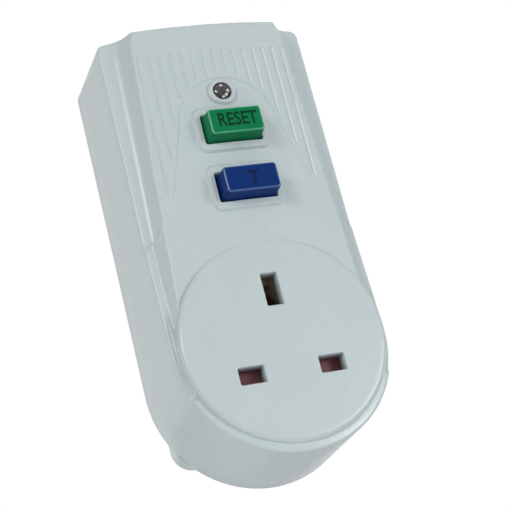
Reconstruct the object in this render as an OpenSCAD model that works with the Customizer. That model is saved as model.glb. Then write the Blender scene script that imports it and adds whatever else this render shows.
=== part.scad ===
// RCD adapter plug: a plug-through housing with a shuttered three-pin socket,
// a reset and a test button, an indicator lamp and the trip works inside.
// Every module works in the mould frame: x across, y up the housing, z out of
// the wall, with z = 0 on the plug face. in_frame() turns that so that +Z is up.

/* [Housing] */
// Width of the housing at its back rim
body_w = 60.4; // [60:0.1:64]
// Height of the top end above the line and neutral slots
top_y = 101.4; // [99:0.1:108]
// Height of the round lower end's centre above the line and neutral slots
end_y = 7.9; // [7.2:0.1:9]
// Distance from the plug face to the back rim, the depth of the plug pad
rim_d = 5; // [4:0.1:7]
// Distance from the plug face to the socket face
face_d = 40; // [39.5:0.1:44]
// Draft angle of the outer walls
draft = 1.1; // [0.5:0.1:1.5]
// Drop from the socket face to the side shoulders
shoulder_drop = 6.2; // [5.8:0.1:6.5]
// Rounding along the side shoulders
shoulder_round = 0.8; // [0.5:0.1:0.9]
// Rounding of the two upright corners at the top end
corner_r = 2.5; // [1.5:0.1:4]
// Thickness of the outer walls
wall = 2.4; // [2:0.1:2.6]

/* [Front face] */
// Distance from the outer walls to the foot of the coves beside the raised face
cove_margin = 0.9; // [0.9:0.1:1.3]
// Width of a cove at the top end
cove_w = 3.7; // [3.5:0.1:3.9]
// Slope of the raised face's sides above the coves
cove_slope = 68; // [60:1:72]
// Angle by which the raised face widens on each side towards the socket
face_flare = 1; // [0.6:0.1:1.2]
// Radius of the raised face's crown across the housing
crown_r = 145; // [120:1:200]
// Rise of the crown above the socket face at the top end
crown_rise = 1.5; // [1:0.1:2]
// Lengthwise slope of the crown, falling towards the socket
crown_tilt = 1.05; // [0.8:0.05:1.4]
// Radius of the bell-shaped panel's arch
bell_r = 14.2; // [13:0.1:15]
// Height of the arch's centre above the line and neutral slots
bell_y = 70.4; // [68:0.1:72]
// Lean of the bell panel's sides
bell_lean = 16; // [12:0.5:20]
// Radius of the flare at the bell panel's foot
flare_r = 32; // [26:1:40]
// Height where the flare starts
flare_y = 52; // [48:0.5:56]
// Depth of the bell panel below the fluted skin
bell_step = 0.35; // [0.2:0.05:0.6]
// Length over which the shoulders climb to the socket end
skirt_run = 30; // [24:1:36]
// Height above the line and neutral slots at which the flanks start to fill the coves
flank_top = 48; // [44:0.5:52]
// Slope of the flanks from the raised face to the outer walls
flank_slope = 30; // [26:1:32]
// Angle by which the flanks climb towards the socket
flank_climb = 3.3; // [2.8:0.1:3.4]
// Number of flutes across the raised face
flute_count = 15; // [9:2:15]
// Spacing of the flutes
flute_pitch = 3; // [2.6:0.1:3]
// Radius of the tool that cuts a flute
flute_r = 0.6; // [0.5:0.05:0.8]
// Depth of a flute
flute_depth = 0.25; // [0.15:0.05:0.3]
// Height of the flutes' upper ends
flute_top = 92.5; // [88:0.5:96]

/* [Socket] */
// Height of the socket disc's centre above the round lower end's centre
disc_rise = 0.9; // [0:0.1:1]
// Radius of the socket disc
disc_r = 27.9; // [27.4:0.1:28.2]
// Height of the disc above its base line
disc_h = 3.1; // [2.5:0.1:3.4]
// Rounding of the disc's rim
disc_edge = 1.4; // [0.8:0.1:1.6]
// Half the spacing of the line and neutral slots
pole_x = 11.1; // [11:0.05:11.2]
// Height of the earth slot above the line and neutral slots
earth_y = 22.2; // [22:0.1:22.5]
// Width of the line and neutral slots
pole_slot_w = 7.1; // [6.8:0.1:7.4]
// Height of the line and neutral slots
pole_slot_h = 4.6; // [4.5:0.1:4.9]
// Width of the earth slot
earth_slot_w = 4.6; // [4.5:0.1:4.9]
// Height of the earth slot
earth_slot_h = 9; // [8.6:0.1:9.2]
// Thickness of the socket face around the slots
socket_t = 4.2; // [3.8:0.1:4.4]
// Travel of the shutter
shutter_travel = 5.2; // [5:0.1:5.4]
// Thickness of the shutter plate
shutter_t = 2.6; // [2.2:0.1:3]

/* [Plug] */
// Width of the plug pad behind the housing
pad_w = 51; // [46:0.5:52]
// Lower edge of the plug pad, below the line and neutral pins
pad_low = 12.9; // [11:0.1:13.1]
// Upper edge of the plug pad, above the line and neutral pins
pad_high = 36.8; // [34:0.1:37]
// Rounding of the plug pad's corners
pad_r = 6; // [3:0.5:9]
// Wide side of a line or neutral pin
pin_w = 6.35; // [6.2:0.05:6.4]
// Thickness of every pin
pin_t = 3.97; // [3.9:0.01:4.05]
// Length of the line and neutral pins beyond the plug face
pin_l = 17.7; // [17.2:0.1:18.2]
// Tall side of the earth pin
earth_pin_h = 7.95; // [7.85:0.05:8]
// Length of the earth pin beyond the plug face
earth_pin_l = 22.7; // [22.2:0.1:23.2]
// Length of the insulating sleeves beyond the plug face
sleeve_l = 9.5; // [9:0.1:10]
// Thickness of the insulating sleeves
sleeve_t = 0.6; // [0.5:0.05:0.8]

/* [Buttons and lamp] */
// Height of the reset button's centre
reset_y = 68.9; // [68.5:0.1:69.5]
// Height of the test button's centre
test_y = 51.9; // [51.5:0.1:52.5]
// Width of a button at its foot
button_w = 15.4; // [14.8:0.1:15.8]
// Height of a button at its foot, up the housing
button_h = 7.8; // [7.4:0.1:8.2]
// Stand of a button above the socket face
button_stand = 5.4; // [5:0.1:6.5]
// Draft angle of a button's sides
button_draft = 6; // [3:0.5:8]
// Rounding along a button's upper edges
button_edge = 0.6; // [0.3:0.1:0.9]
// Travel of the reset button
reset_travel = 2.5; // [2.2:0.1:2.6]
// Travel of the test button
test_travel = 1.8; // [1.5:0.1:2]
// Width of the raised pad round a button
rest_w = 20; // [19:0.1:21]
// Height of the raised pad round a button
rest_h = 13.2; // [12.6:0.1:13.8]
// Rise of the raised pads above the bell panel
rest_rise = 0.5; // [0.3:0.05:0.8]
// Height of the lamp's centre
lamp_y = 80; // [79.6:0.1:80.6]
// Radius of the lamp's lens
lamp_r = 2.5; // [2.3:0.05:2.6]
// Outer radius of the collar round the lamp
collar_r = 4; // [3.8:0.1:4.4]
// Stand of the collar above the socket face
collar_stand = 1.6; // [1.4:0.1:2]

/* [Inside] */
// Thickness of the rear cover's plate
plate_t = 2.2; // [2:0.1:2.6]
// Thickness of the circuit board
board_t = 1.6; // [1.4:0.1:1.8]
// Height of the rests under the circuit board
board_rest = 0.7; // [0.6:0.1:1]
// Thickness of the brass strips
strip_t = 0.8; // [0.6:0.05:0.9]
// Width of the brass strips
strip_w = 3.4; // [3:0.1:3.6]
// Radius of the trip coil's flanges
coil_r = 6; // [5.6:0.1:6.2]
// Length of the trip coil's frame, up the housing
coil_l = 17; // [16:0.1:17.4]
// Travel of the trip plunger
trip_travel = 1.2; // [1:0.1:1.3]
// Outer radius of the current transformer
ring_r = 8.5; // [8:0.1:8.8]
// Wire diameter of the springs
wire_d = 0.6; // [0.5:0.05:0.6]
// Radius of a cover screw's shank
screw_r = 1.4; // [1.3:0.05:1.5]
// Radius of a cover screw's head
screw_head_r = 2.7; // [2.5:0.1:2.8]

/* [Hidden] */
$fn = 64;
// Gap of a sliding or drop-in fit
fit = 0.15;
// Gap beside a moving piece
slide = 0.3;
// Radial gap of a turning or push-in round fit
run = 0.05;
// Overrun of a cutting tool past the surface that it opens
over = 1;
// How far a cove's arc dips into the shoulder, so that the two surfaces cross
dip = 0.05;
far = 300;

shoulder_d = face_d - shoulder_drop;
ring_d = face_d - disc_h;
disc_y = end_y + disc_rise;
ring_round = 1.6;
plate_in = rim_d + plate_t;
roof_d = face_d - 3.1;
shutter_front = face_d - socket_t - slide;
shutter_back = shutter_front - shutter_t;
block_front = shutter_back - slide;
ledge = 0.8;
inner_half = body_w / 2 - (shoulder_d - rim_d) * tan(draft) - wall;
inner_top = top_y - wall - (body_w / 2 - wall - inner_half);
recess_half = inner_half + ledge;
cove_x = body_w / 2 - (shoulder_d - rim_d) * tan(draft) - cove_margin;
face_half = cove_x - cove_w;
face_cavity_half = face_half - 6.2;
well_r = disc_r - 2.6;
well_top = disc_y + well_r;

screw_boss_r = 3;
screw_len = 14;
side_screw_x = inner_half - screw_boss_r - 0.9;
screw_spots = [[-side_screw_x, top_y - 7.1], [side_screw_x, top_y - 7.1],
               [-side_screw_x, pad_high + 4.7], [side_screw_x, pad_high + 4.7],
               [0, end_y - inner_half + 2.7]];

board_back = plate_in + board_rest;
board_front = board_back + board_t;
board_half = inner_half - 1.7;
board_neck_half = side_screw_x - screw_boss_r - 0.5;
board_low = pad_high + 2.2;
board_high = inner_top - 1.6;
neck_low = pad_high + 9.2;
neck_high = top_y - 11.4;

head_t = 2.5;
head_front = plate_in + head_t;
supply_back = max(head_front, board_front) + 0.1;
jaw_back = supply_back + strip_t + 1.4;
tail_x = pole_x - 2;
jaw_w = 6;
ramp_foot = shutter_front - shutter_travel - 2.2;
jaw_l = ramp_foot - 0.4 - jaw_back - strip_t;
pocket_gap = 1.4;
block_half = pole_x + jaw_w / 2 + 2.4;
block_low = 7.5;
block_high = earth_y + earth_pin_h / 2 + 3.3;

frame_plate_t = 1.6;
frame_back = face_d - 16;
frame_front = frame_back + frame_plate_t;
flange_t = 2;
flange_rim = 1.5;
spring_l = 4.8;
flange_back = frame_front + spring_l;
flange_front = flange_back + flange_t;
guide_back = flange_front + slide;
spring_r = 3.4;
stem_r = 2.2;
hub_r = 3.1;

carriage_t = 2.5;
carriage_front = frame_back - 5.5;
carriage_back = carriage_front - carriage_t;
carriage_h = 6;
contact_r = 1.6;
contact_t = 1.3;
cheek_t = 0.8;
cheek_x = tail_x + strip_w / 2 + 0.4;
cheek_front = carriage_front + 2.5;
cheek_back = carriage_back - 2.8;
lever_t = 1.4;
lever_back = carriage_back + 0.2;
lever_front = lever_back + lever_t;
pivot_r = 1;
pivot_x = cheek_x + cheek_t + 0.9;
pivot_y = reset_y - 8.9;
coil_x = pivot_x + 5.8;
coil_y = reset_y + 3.1;
coil_axis = board_front + 7.9;
coil_sheet = 1.2;
plunger_r = 2.2;

// Turns the mould frame to the part's frame
module in_frame() rotate([90, 0, 0]) children();
// Extrudes an x-y drawing out of the wall
module along_d(from, to) translate([0, 0, from]) linear_extrude(to - from) children();
// Extrudes an x-z drawing up the housing
module along_y(from, to) translate([0, to, 0]) rotate([90, 0, 0]) linear_extrude(to - from) children();
// Extrudes a y-z drawing across the housing
module along_x(from, to) translate([from, 0, 0]) rotate([90, 0, 90]) linear_extrude(to - from) children();
// Points a z-axis shape up the housing
module upright() rotate([-90, 0, 0]) children();
// Draws a shape and its mirror image across the middle plane
module on_both_sides() {
  children();
  mirror([1, 0, 0]) children();
}
// Box between two corners
module block(low, high) translate(low) cube(high - low);
// Rectangle with round corners, centred
module rounded_rect(w, h, r) {
  square([w - 2 * r, h], center = true);
  square([w, h - 2 * r], center = true);
  for (x = [-1, 1], y = [-1, 1]) translate([x * (w / 2 - r), y * (h / 2 - r)]) circle(r);
}

// Half width of the drafted outer wall at depth d
function wall_half(d) = body_w / 2 - (d - rim_d) * tan(draft);
// Centre of a rounding that touches the drafted wall and a flat top
function round_x(top_d, r) = wall_half(top_d) + r * tan(draft) - r / cos(draft);
// Radius at height y of the tapering cove between the raised face's side and the shoulder
function cove_r(y) = (cove_w - (top_y - y) * tan(face_flare)) / tan(cove_slope / 2);

// Section of the housing below a flat top with rounded shoulders
module shoulder_section(top_d, r) {
  centre = round_x(top_d, r);
  touch = [centre + r * cos(draft), top_d - r + r * sin(draft)];
  polygon([[-body_w / 2, rim_d], [body_w / 2, rim_d], touch, [centre, top_d],
           [-centre, top_d], [-touch[0], touch[1]]]);
  for (side = [-1, 1]) translate([side * centre, top_d - r]) circle(r);
}
// Section between the drafted walls, drawn in by inset and as tall as need be
module wall_section(inset) {
  low = body_w / 2 - inset;
  high = wall_half(face_d + over * 6) - inset;
  polygon([[-low, rim_d], [low, rim_d], [high, face_d + over * 6], [-high, face_d + over * 6]]);
}
// Straight part of the housing up to its shoulders
module shoulder_block() {
  inset = corner_r / cos(draft);
  intersection() {
    along_y(end_y, top_y) shoulder_section(shoulder_d, shoulder_round);
    union() {
      along_y(end_y, top_y - corner_r) wall_section(0);
      along_y(end_y, top_y) wall_section(inset);
      on_both_sides() translate([body_w / 2 - inset, top_y - corner_r, rim_d]) rotate([0, -draft, 0])
        cylinder(r = corner_r, h = 2 * face_d, center = true);
    }
  }
}
// Body under the raised face's crown, lifted or lowered by rise
module crown_body(rise) translate([0, top_y, face_d + crown_rise + rise - crown_r])
  rotate([-90 + crown_tilt, 0, 0]) cylinder(r = crown_r, h = far, center = true, $fn = 720);
// Right-hand edge of the bell panel from its flared foot up to the start of the arch, grown by grow
function bell_foot(grow) =
  let (touch = [bell_r * cos(bell_lean), bell_y + bell_r * sin(bell_lean)],
       foot = touch[0] + (touch[1] - flare_y) * tan(bell_lean),
       centre = [foot + flare_r * cos(bell_lean), flare_y + flare_r * sin(bell_lean)],
       r = flare_r - grow,
       steps = 10)
  [for (i = [0:steps]) let (a = 255 - i * (75 - bell_lean) / steps)
    [centre[0] + r * cos(a), centre[1] + r * sin(a)]];
// Bell-shaped outline of the smooth panel, grown by grow
module bell_outline(grow) {
  foot = bell_foot(grow);
  steps = 24;
  arch = [for (i = [0:steps]) let (a = bell_lean + i * (180 - 2 * bell_lean) / steps)
    [(bell_r + grow) * cos(a), bell_y + (bell_r + grow) * sin(a)]];
  left_foot = [for (i = [len(foot) - 1:-1:0]) [-foot[i][0], foot[i][1]]];
  polygon(concat([[-body_w, end_y], [body_w, end_y], [body_w, foot[0][1]]], foot, arch, left_foot,
                 [[-body_w, foot[0][1]]]));
}
// Right half of the raised face with its sloping side and cove, before the crown trims it
module face_side() {
  inside = -1.4 * face_half;
  high = shoulder_drop + 4 * over;
  translate([face_half, top_y, shoulder_d]) rotate([0, 0, face_flare]) along_y(end_y - top_y, over)
    polygon([[inside, -over], [over / tan(cove_slope), -over],
             [-high / tan(cove_slope), high], [inside, high]]);
  rise = 1 - cos(cove_slope);
  taper = tan(face_flare) / tan(cove_slope / 2);
  start = top_y + over;
  difference() {
    intersection() {
      block([0, end_y, shoulder_d - over], [cove_x, top_y, far]);
      translate([0, top_y, shoulder_d + cove_r(top_y) * rise]) rotate([atan(taper * rise), 0, 0])
        block([-over, -far, -far], [far, over, 0]);
    }
    translate([cove_x, start, shoulder_d + cove_r(start) - dip]) rotate([90 + atan(taper), 0, 0])
      cylinder(r1 = cove_r(start) / cos(atan(taper)), r2 = cove_r(end_y) / cos(atan(taper)),
               h = (start - end_y) / cos(atan(taper)), $fn = 128);
  }
}
// Right-hand flank: a gentle slope that fills the cove below the edge of the bell panel
module flank() intersection() {
  along_d(shoulder_d - over, far) bell_outline(0);
  block([0, end_y, rim_d], [body_w, top_y, far]);
  translate([cove_x + 0.25, flank_top, shoulder_d - 0.2]) rotate([-flank_climb, flank_slope, 0])
    block([-far, -far, -far], [far, far, 0]);
}
// Slope by which the shoulders climb from the foot of the coves to the ring round the socket disc
module skirt() {
  reach = 5;
  half = wall_half(ring_d) + 0.1;
  intersection() {
    along_y(end_y, end_y + reach + skirt_run) shoulder_section(ring_d, ring_round);
    translate([0, end_y + reach, ring_d]) rotate([-atan((ring_d - shoulder_d) / skirt_run), 0, 0])
      along_y(-skirt_run, 2 * skirt_run) {
        polygon([[-half, -far], [half, -far], [half, -ring_round], [half - ring_round, 0],
                 [ring_round - half, 0], [-half, -ring_round]]);
        for (side = [-1, 1]) translate([side * (half - ring_round), -ring_round]) circle(ring_round);
      }
  }
}
module flutes() {
  first = -(flute_count - 1) / 2;
  lift = crown_r + flute_r - flute_depth;
  difference() {
    translate([0, top_y, face_d + crown_rise - crown_r]) rotate([crown_tilt, 0, 0])
      for (i = [first:-first]) rotate([0, asin(i * flute_pitch / crown_r), 0])
        translate([0, flute_top - top_y, lift]) {
          sphere(flute_r);
          rotate([90, 0, 0]) cylinder(r = flute_r, h = flute_top - end_y, $fn = 32);
        }
    along_d(rim_d, far) bell_outline(1);
  }
}
module raised_face() difference() {
  intersection() {
    on_both_sides() {
      face_side();
      flank();
    }
    crown_body(0);
    along_y(end_y, top_y) wall_section(0);
  }
  difference() {
    along_d(shoulder_d, far) bell_outline(0);
    crown_body(-bell_step);
  }
  flutes();
}
// Turned lower end with a rounded front edge
module round_end() translate([0, end_y, 0]) rotate_extrude($fn = 128) {
  centre = round_x(ring_d, ring_round);
  touch = [centre + ring_round * cos(draft), ring_d - ring_round + ring_round * sin(draft)];
  polygon([[0, rim_d], [body_w / 2, rim_d], touch, [centre, ring_d], [0, ring_d]]);
  translate([centre, ring_d - ring_round]) circle(ring_round);
}
// Turned socket disc with a rounded rim
module socket_disc() translate([0, disc_y, 0]) rotate_extrude($fn = 128) {
  polygon([[0, ring_d - over], [disc_r, ring_d - over], [disc_r, face_d - disc_edge],
           [disc_r - disc_edge, face_d], [0, face_d]]);
  translate([disc_r - disc_edge, face_d - disc_edge]) circle(disc_edge);
}
module button_rests() intersection() {
  along_d(roof_d, far) for (y = [reset_y, test_y]) translate([0, y]) rounded_rect(rest_w, rest_h, 2.2);
  crown_body(rest_rise - bell_step);
}
module lamp_collar() translate([0, lamp_y, 0]) rotate_extrude() {
  edge = 0.7;
  top = face_d + collar_stand;
  translate([0, roof_d]) square([collar_r, top - edge - roof_d]);
  translate([0, top - edge - over]) square([collar_r - edge, edge + over]);
  translate([collar_r - edge, top - edge]) circle(edge);
}
// Plan of the housing's inside, at half width half
module inside_plan(half) {
  translate([0, end_y]) circle(half, $fn = 128);
  translate([-half, end_y]) square([2 * half, top_y - body_w / 2 + half - end_y]);
}
module cover_cavity() {
  along_d(rim_d - over, shoulder_d - wall) inside_plan(inner_half);
  along_d(rim_d - over, plate_in) inside_plan(recess_half);
  along_d(plate_in, roof_d) translate([-face_cavity_half, well_top - over])
    square([2 * face_cavity_half, inner_top - well_top + over]);
  translate([0, disc_y, plate_in]) cylinder(r = well_r, h = face_d - socket_t - plate_in, $fn = 128);
}
module socket_slots(from, to) along_d(from, to) {
  for (side = [-1, 1]) translate([side * pole_x, 0]) square([pole_slot_w, pole_slot_h], center = true);
  translate([0, earth_y]) square([earth_slot_w, earth_slot_h], center = true);
}
// Opening for a button, with gap all round
module button_hole(y, gap, from, to) along_d(from, to) translate([0, y])
  square([button_w + 2 * gap, button_h + 2 * gap], center = true);

module front_cover() color("gainsboro") in_frame() difference() {
  union() {
    difference() {
      union() {
        shoulder_block();
        skirt();
        raised_face();
        round_end();
        socket_disc();
        button_rests();
        lamp_collar();
      }
      cover_cavity();
    }
    for (y = [reset_y, test_y]) button_hole(y, slide + 1.5, guide_back, roof_d + dip);
    intersection() {
      for (spot = screw_spots) translate([spot[0], spot[1], plate_in])
        cylinder(r = screw_boss_r, h = shoulder_d - wall + over - plate_in);
      along_d(plate_in, face_d) inside_plan(inner_half + dip);
    }
    translate([screw_spots[4][0], screw_spots[4][1], plate_in])
      cylinder(r = screw_boss_r - 0.4, h = face_d - socket_t + dip - plate_in);
  }
  socket_slots(plate_in, face_d + over);
  for (y = [reset_y, test_y]) button_hole(y, slide, guide_back - over, far);
  translate([0, lamp_y, plate_in]) cylinder(r = lamp_r + 0.1, h = far);
  for (spot = screw_spots) translate([spot[0], spot[1], rim_d])
    cylinder(r = screw_r + run, h = screw_len + plate_t);
}

module pin_holes(gap) {
  for (side = [-1, 1]) translate([side * pole_x, 0])
    square([pin_w + 2 * gap, pin_t + 2 * gap], center = true);
  translate([0, earth_y]) square([pin_t + 2 * gap, earth_pin_h + 2 * gap], center = true);
}
screw_seat = rim_d + 1.6;
module rear_cover() color("gainsboro") in_frame() difference() {
  union() {
    along_d(rim_d, plate_in) inside_plan(recess_half - fit);
    along_d(0, rim_d) translate([0, (pad_high - pad_low) / 2]) rounded_rect(pad_w, pad_high + pad_low, pad_r);
    for (x = [-1, 1], y = [board_low + 3, board_high - 3]) translate([x * (board_neck_half - 3), y, rim_d])
      cylinder(r = 2, h = board_back - rim_d);
  }
  along_d(-over, far) pin_holes(run);
  for (spot = screw_spots) translate([spot[0], spot[1], 0]) {
    cylinder(r = screw_r + fit, h = far);
    translate([0, 0, -over]) cylinder(r = screw_head_r + fit, h = screw_seat + over);
  }
}
// Cross-slot screw with its head sunk a little below the rear cover
module cover_screw() difference() {
  sink = 0.2;
  union() {
    translate([0, 0, rim_d + sink]) cylinder(r = screw_head_r, h = screw_seat - rim_d - sink);
    translate([0, 0, screw_seat - dip]) cylinder(r = screw_r, h = screw_len + rim_d - screw_seat);
  }
  for (turn = [0, 90]) translate([0, 0, rim_d]) rotate([0, 0, turn]) cube([0.7, 3, 1.8], center = true);
}
module cover_screws() color("silver") in_frame() for (spot = screw_spots)
  translate([spot[0], spot[1], 0]) cover_screw();

// Moulded button: a drafted cap with rounded edges, a straight skirt, a stop flange and a stem
module button_cap(y) translate([0, y, 0]) {
  foot = face_d + 1;
  top = face_d + button_stand;
  intersection() {
    along_y(-button_h, button_h) cap_section(button_w, foot, top);
    along_x(-button_w, button_w) cap_section(button_h, foot, top);
  }
  along_d(flange_front - dip, foot + dip) square([button_w, button_h], center = true);
  along_d(flange_back, flange_front)
    square([button_w + 2 * flange_rim, button_h + 2 * flange_rim], center = true);
}
module cap_section(w, foot, top) {
  draw_in = (top - foot) * tan(button_draft);
  half = w / 2 - draw_in;
  centre = half + button_edge * tan(button_draft) - button_edge / cos(button_draft);
  touch = [centre + button_edge * cos(button_draft), top - button_edge + button_edge * sin(button_draft)];
  polygon([[-w / 2, foot], [w / 2, foot], touch, [centre, top], [-centre, top], [-touch[0], touch[1]]]);
  for (side = [-1, 1]) translate([side * centre, top - button_edge]) circle(button_edge);
}
module reset_button() color("seagreen") in_frame() {
  button_cap(reset_y);
  translate([0, reset_y, carriage_back]) cylinder(r = stem_r, h = flange_back + dip - carriage_back);
}
pad_t = 0.3;
module test_button() color("midnightblue") in_frame() {
  button_cap(test_y);
  translate([0, test_y, board_front + pad_t + test_travel + 0.1])
    cylinder(r = stem_r, h = flange_back + dip - board_front - pad_t - test_travel - 0.1);
}
module test_pads() color("goldenrod") in_frame() for (side = [-1, 1])
  along_d(board_front, board_front + pad_t) translate([side * 1.4, test_y]) square([1.8, 3], center = true);

// Coil spring along z, as one tube of six sides
module coil_spring(radius, length, curls) {
  sides = 6;
  steps = 8;
  rings = curls * steps;
  rise = (length - wire_d) / rings;
  slope = atan2(rise * rings, 2 * PI * radius * curls);
  ring = function(i) [for (k = [0:sides - 1])
    let (turn = 360 * i / steps,
         a = 360 * k / sides,
         out = radius + wire_d / 2 * cos(a),
         up = wire_d / 2 * sin(a))
    [out * cos(turn) + up * sin(slope) * sin(turn), out * sin(turn) - up * sin(slope) * cos(turn),
     wire_d / 2 + rise * i + up * cos(slope)]];
  points = [for (i = [0:rings]) each ring(i)];
  walls = [for (i = [0:rings - 1], k = [0:sides - 1])
    let (a = i * sides + k, b = i * sides + (k + 1) % sides)
    each [[a, a + sides, b], [b, a + sides, b + sides]]];
  start = [for (k = [1:sides - 2]) [0, k, k + 1]];
  end = [for (k = [1:sides - 2]) [rings * sides, rings * sides + k + 1, rings * sides + k]];
  polyhedron(points, concat(walls, start, end));
}
spring_gap = 0.1;
module reset_spring() color("silver") in_frame() translate([0, reset_y, frame_front + spring_gap])
  coil_spring(spring_r, spring_l - 2 * spring_gap, 3);
module test_spring() color("silver") in_frame() translate([0, test_y, frame_front + spring_gap])
  coil_spring(spring_r, spring_l - 2 * spring_gap, 4);

lamp_base = face_d - 8;
lens_crown = 5.5;
module indicator_lens() color("dimgray") in_frame() translate([0, lamp_y, 0]) {
  rim = face_d + collar_stand - 0.1;
  translate([0, 0, lamp_base]) cylinder(r = lamp_r + 0.4, h = 1);
  intersection() {
    translate([0, 0, lamp_base]) cylinder(r = lamp_r, h = far);
    translate([0, 0, rim - sqrt(pow(lens_crown, 2) - pow(lamp_r, 2))]) sphere(lens_crown);
  }
}
module lamp_leads() color("silver") in_frame() for (side = [-1, 1]) along_d(board_front, lamp_base)
  translate([side * 1.27, lamp_y]) square(0.6, center = true);

// Shutter plate with two windows, and a ramp behind the earth slot
ramp_low = earth_y - earth_pin_h / 2;
ramp_high = ramp_low + shutter_travel;
shutter_half = pole_x + pole_slot_w / 2 + 1.4;
shutter_low = pole_slot_h / 2 + 1.7;
window_y = shutter_travel;
shutter_high = window_y + pole_slot_h / 2 + 2.4;
module socket_shutter() color("brown") in_frame() {
  difference() {
    along_d(shutter_back, shutter_front) translate([-shutter_half, -shutter_low])
      square([2 * shutter_half, shutter_low + shutter_high]);
    for (side = [-1, 1]) along_d(shutter_back - over, shutter_front + over)
      translate([side * pole_x, window_y]) square([pole_slot_w + 0.4, pole_slot_h], center = true);
  }
  along_x(-earth_slot_w / 2 - 0.6, earth_slot_w / 2 + 0.6) polygon([[shutter_high - dip, shutter_back],
    [shutter_high - dip, shutter_front], [ramp_low - 1, shutter_front],
    [ramp_high, ramp_foot + 1.2], [ramp_high, ramp_foot], [ramp_high - 2, ramp_foot]]);
}
shutter_spring_low = screw_spots[4][1] + screw_boss_r + 0.1;
module shutter_spring() color("silver") in_frame()
  translate([0, shutter_spring_low, (shutter_front + shutter_back) / 2]) upright()
    coil_spring(1, -shutter_low - 0.1 - shutter_spring_low, 5);

// Insulating block that carries the socket contacts over the pins
module socket_block() color("beige") in_frame() difference() {
  intersection() {
    along_d(plate_in, block_front) translate([-block_half, -block_low])
      square([2 * block_half, block_low + block_high]);
    translate([0, disc_y, 0]) cylinder(r = well_r - fit, h = far, $fn = 128);
  }
  along_d(plate_in - over, far) {
    for (side = [-1, 1]) translate([side * pole_x, 0])
      square([jaw_w + 2 * pocket_gap, jaw_w + 1.6], center = true);
    translate([0, earth_y]) square([jaw_w + 1.6, earth_pin_h + 2 * pocket_gap], center = true);
  }
  on_both_sides() block([tail_x - strip_w / 2 - 0.2, 0, supply_back - 0.2],
                        [pole_x + strip_w / 2 + 0.2, far, jaw_back + strip_t + 0.2]);
  block([-earth_slot_w / 2 - 1, shutter_low, ramp_foot - 0.4], [earth_slot_w / 2 + 1, far, far]);
}
// Pair of sprung leaves that grip a pin, drawn across the gap
module jaw_section() for (side = [0, 1]) mirror([side, 0]) {
  inner = pin_t / 2;
  grip = jaw_l * 0.7;
  polygon([[inner + strip_t + 0.1, 0], [inner + 0.1, 0], [inner - 0.3, grip], [inner + 0.5, jaw_l],
           [inner + 1.1, jaw_l], [inner + strip_t - 0.3, grip]]);
}
arm_front = carriage_front + contact_t + 1 + strip_t + 0.1;
arm_low = reset_y - 2;
arm_high = reset_y + 6.9;
module pole_contact() {
  translate([pole_x, 0, jaw_back + strip_t - dip]) along_x(-jaw_w / 2, jaw_w / 2) jaw_section();
  block([pole_x - jaw_w / 2, -jaw_w / 2, jaw_back], [pole_x + jaw_w / 2, jaw_w / 2, jaw_back + strip_t]);
  translate([tail_x - strip_w / 2, 0, 0]) {
    block([0, 0, jaw_back], [strip_w, arm_high, jaw_back + strip_t]);
    block([0, arm_high - strip_t, jaw_back], [strip_w, arm_high, arm_front]);
    block([0, arm_low, arm_front - strip_t], [strip_w, arm_high, arm_front]);
  }
}
module line_contact() color("goldenrod") in_frame() pole_contact();
module neutral_contact() color("goldenrod") in_frame() mirror([1, 0, 0]) pole_contact();
module earth_contact() color("goldenrod") in_frame() translate([0, earth_y, 0]) {
  translate([0, 0, jaw_back + strip_t - dip]) along_y(-jaw_w / 2, jaw_w / 2) jaw_section();
  block([-jaw_w / 2, -jaw_w / 2, jaw_back], [jaw_w / 2, jaw_w / 2, jaw_back + strip_t]);
}
// Pin with bevelled tip, drawn by its two side views
module pin_bar(w, h, from, length) intersection() {
  along_y(-h, h) pin_section(w, from, length);
  along_x(-w, w) pin_section(h, from, length);
}
module pin_section(w, from, length) {
  bevel = 0.9;
  polygon([[-w / 2, from], [w / 2, from], [w / 2, bevel - length], [w / 2 - bevel, -length],
           [bevel - w / 2, -length], [-w / 2, bevel - length]]);
}
sleeve_in = rim_d - 2;
module pole_pin() difference() {
  union() {
    pin_bar(pin_w, pin_t, plate_in + dip, pin_l);
    along_d(plate_in, head_front) square([pin_w + 1.2, pin_t + 1.6], center = true);
  }
  along_d(-sleeve_l, sleeve_in) difference() {
    square([pin_w + over, pin_t + over], center = true);
    square([pin_w - 2 * sleeve_t, pin_t - 2 * sleeve_t], center = true);
  }
}
module line_pin() color("gold") in_frame() translate([pole_x, 0, 0]) pole_pin();
module neutral_pin() color("gold") in_frame() translate([-pole_x, 0, 0]) pole_pin();
module earth_pin() color("gold") in_frame() translate([0, earth_y, 0]) {
  pin_bar(pin_t, earth_pin_h, plate_in + dip, earth_pin_l);
  along_d(plate_in, head_front) square([pin_t + 1.6, earth_pin_h + 1.6], center = true);
  along_d(head_front - dip, jaw_back) square([3, 3], center = true);
}
module pin_sleeves() color("black") in_frame() on_both_sides() translate([pole_x, 0, 0])
  along_d(0.02 - sleeve_l, sleeve_in - 0.02) difference() {
    square([pin_w, pin_t], center = true);
    square([pin_w - 2 * sleeve_t + 0.04, pin_t - 2 * sleeve_t + 0.04], center = true);
  }
module supply_strips() color("goldenrod") in_frame() on_both_sides()
  block([pole_x - strip_w / 2, -2, supply_back],
        [pole_x + strip_w / 2, board_low + 5, supply_back + strip_t]);

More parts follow.
